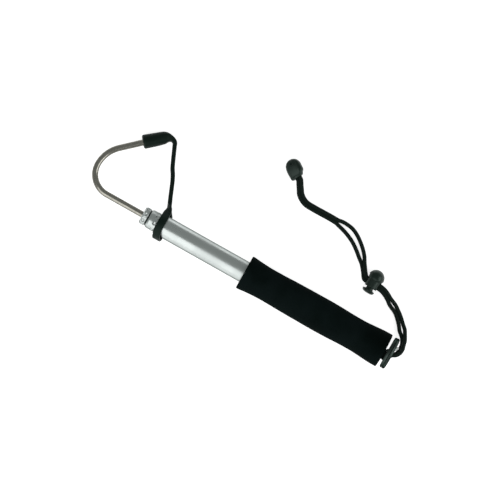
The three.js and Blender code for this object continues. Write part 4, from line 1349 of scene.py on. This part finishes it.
# %% Barrel and plunger
BALL_PLACE, BALL_RADIUS = 6.1, 8.5
SEAT, INSIDE, BARREL_MOUTH, BUTTON_GAP = 5.4, 10.6, -5, 2.5
ball_turns = [(-0.25 + 1.25 * k / 40) * math.pi / 2 for k in range(40)]
ball = [(BALL_PLACE + BALL_RADIUS * math.sin(t), BALL_RADIUS * math.cos(t)) for t in ball_turns]
barrel = rounded(
    [(INSIDE, 0), (INSIDE, 4.65), (BARREL_MOUTH, 4.65), (BARREL_MOUTH, 7.1), (2.2, 7.1)],
    [0, 0.3, 0.35, 0.7, 0], 5, False,
)
barrel = barrel[:-1] + [(2.9, 7.25)] + [p for p in ball if p[0] > 3.6] + [(BALL_PLACE + BALL_RADIUS, 0)]
lock = plain_object("lock_barrel", *spun(barrel, 96, lock_axis, closed=False))
lock = cut_away(lock, lock_slot(-SLOT_HALF, 7.5, flare=3))
finished(lock, black_plastic, "cord_lock", "cord_lock_body", 35)
face = BARREL_MOUTH - BUTTON_GAP
flange = rounded(
    [(face - 3.8, 0), (face - 3.65, 3.6), (face - 2.9, 5.6), (face - 1.7, 6.4), (face - 0.2, 6.5),
     (face, 6.2), (face, 4.3), (SEAT, 4.3), (SEAT, 0)],
    [0, 0.8, 0.8, 0.8, 0.3, 0.2, 0.4, 0.4, 0], 4, False,
)
plunger = plain_object("lock_button", *spun(flange, 96, lock_axis, closed=False))
plunger = cut_away(plunger, lock_slot(-SLOT_HALF - 2.5, 6, ease_by=0.2))
finished(plunger, black_plastic, "lock_plunger", "cord_lock_plunger", 35)
print("lock:", len(lock.data.polygons), "and", len(plunger.data.polygons), "faces")

# %% Tree: coil spring
spring_sizes = {"Turns": 4.0, "Radius": 1.0, "Height": 1.0, "Wire": 1.0, "Finish": bright_steel}
coil, given, put_out = node_tree("coil_spring", spring_sizes)
spiral = add(coil, "GeometryNodeCurveSpiral", {
    "Resolution": 28, "Rotations": given["Turns"], "Start Radius": given["Radius"],
    "End Radius": given["Radius"], "Height": given["Height"],
})
wire = add(coil, "GeometryNodeCurvePrimitiveCircle", {
    "Resolution": 12, "Radius": given["Wire"],
}, mode="RADIUS")
skin = add(coil, "GeometryNodeCurveToMesh", {
    "Curve": spiral.outputs["Curve"], "Profile Curve": wire.outputs["Curve"], "Fill Caps": True,
})
end_tree(coil, skin.outputs["Mesh"], given["Finish"], put_out)
holder = plain_object("spring_holder", [(0, 0, 0)], [])
use_tree(holder, coil, {
    "Turns": 4.0, "Radius": 2.9 * MM, "Height": (INSIDE - SEAT - 1.2) * MM, "Wire": 0.3 * MM,
    "Finish": bright_steel,
})
spring = evaluated_copy(holder, "lock_spring")
stand = Matrix.Rotation(LOCK_TURN, 4, "Z") @ Matrix.Rotation(-math.pi / 2, 4, "X")
spring.data.transform(Matrix.Translation(on_lock(0, SEAT + 0.6, 0)) @ stand)
finished(spring, bright_steel, "cord_lock", "cord_lock_spring", 60)
print("spring:", len(spring.data.polygons), "faces")

# %% [markdown]
# ## Cord end
#
# Two moulded halves snap together over the cord's ends. Seen flat it is egg-shaped. The top
# half has a shallow field with a raised rim round it and a small round sink near its broad
# end. The bottom half is plain. Each half is a stack of sections whose edge is squarer than
# an ellipse, and the passage for the two strands is cut out of both.

# %% Cord end
END_LENGTH, END_WIDTH, END_THICK, END_SHIFT = 21.9, 16, 10, 1.4
END_PLACE, SLANT, SLANT_FROM, CORNER_ROUND, HALF_GAP = (91.5, 114.5, 5.7), 0.32, -5.8, 2.6, 0.15
SINK_PLACE, SINK_DEPTH, FIELD_DEPTH, FIELD_SHARE = (-5.9, -0.2), 1.1, 0.38, 0.66
ROUND_STEPS, FLAT_STEPS = 64, 8
egg_shares = [
    (-0.5, 0), (-0.46, 0.42), (-0.37, 0.74), (-0.22, 0.96), (0, 1), (0.2, 0.9), (0.36, 0.79), (0.5, 0.73),
]
end_turn = Matrix.Rotation(math.radians(-44.6), 3, "Z") @ Matrix.Rotation(math.radians(25), 3, "X")
edge_line = smooth_path([(a * END_LENGTH, w * END_WIDTH / 2, 0) for a, w in egg_shares], 0.3)
edge_line[0].y = HALF_GAP
far, near_x = edge_line[-1], edge_line[0].x
outline = [(p.x, p.y) for p in edge_line if p.x < far.x - 0.5]
outline += [(far.x - 0.35, far.y), (far.x, far.y - 0.4)]


def on_cord_end(x, y, z):
    return on_table(*(a + b for a, b in zip(end_turn @ Vector((x, y, z)), END_PLACE)))


def step_up(value, low, high):
    return ease(ramp(value, low, high))


def moulded(x, y, z):
    """A place on a half. Its mouth is slanted, and its sides there are fuller or rounder."""
    slanted = x - SLANT * (y - SLANT_FROM) * step_up(x, 0, far.x)
    if y > 0:
        return on_cord_end(slanted, y * (1 + 0.2 * step_up(x, -4, 5)), z)
    share = max(0, (x - far.x) / CORNER_ROUND + 1)
    return on_cord_end(slanted, y * (1.05 - 0.3 * (1 - math.sqrt(1 - share**2))), z)


def top_marks(x, y, wide):
    """How deep the shallow field and the small sink are at a place on the top half."""
    field = step_up(FIELD_SHARE - abs(y) / max(wide, 0.1), 0, 0.09)
    field *= step_up(x, near_x + 1.9, near_x + 2.7) * step_up(far.x - 2.0 - x, 0, 0.7)
    sink = 1 - step_up(math.dist((x, y), SINK_PLACE), 0.75, 1.35)
    return FIELD_DEPTH * field, SINK_DEPTH * sink


def half_shell(name, side, node):
    rows = []
    for x, wide in outline:
        high = END_THICK / 2 * (wide / (END_WIDTH / 2)) ** 0.8
        row = []
        for k in range(ROUND_STEPS + 1):
            turn = math.pi * k / ROUND_STEPS
            y = bulged(math.cos(turn), 0.86) * wide
            z = HALF_GAP + math.sin(turn) ** 0.74 * (high - HALF_GAP)
            if side > 0:
                for depth in top_marks(x, y, wide):
                    z -= depth
            row.append(moulded(x, y, side * z))
        flat = (wide * (-1 + 2 * k / FLAT_STEPS) for k in range(1, FLAT_STEPS))
        row += [moulded(x, y, side * HALF_GAP) for y in flat]
        rows.append(row)
    shell = plain_object(name, *above_table(skinned(rows)))
    mouth_rows = [
        (x, END_SHIFT - SLOT_HALF - more, END_SHIFT + SLOT_HALF + more, -SLOT_HIGH - more, SLOT_HIGH + more)
        for x, more in ((far.x - 11.5, 0), (far.x - 0.9, 0), (far.x + 1.2, 1.0))
    ]
    shell = cut_away(shell, cutter_between(mouth_rows, on_cord_end))
    return finished(shell, black_plastic, "handle", node, 35)


end_top = half_shell("end_top", 1, "cord_end_upper")
end_bottom = half_shell("end_bottom", -1, "cord_end_lower")
print("cord end:", len(end_top.data.polygons), "faces in its top half")

# %% [markdown]
# ## Size of the dressed gaff
#
# The dressed gaff has to stay as big as its solids. Both boxes are printed.

# %% Sizes
low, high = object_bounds()
sizes = {
    "cad": [list(cad_low), list(cad_high)],
    "visual": [list(low), list(high)],
}
for label, (a, b) in sizes.items():
    print(label, [round(v / MM, 2) for v in a], [round(v / MM, 2) for v in b])
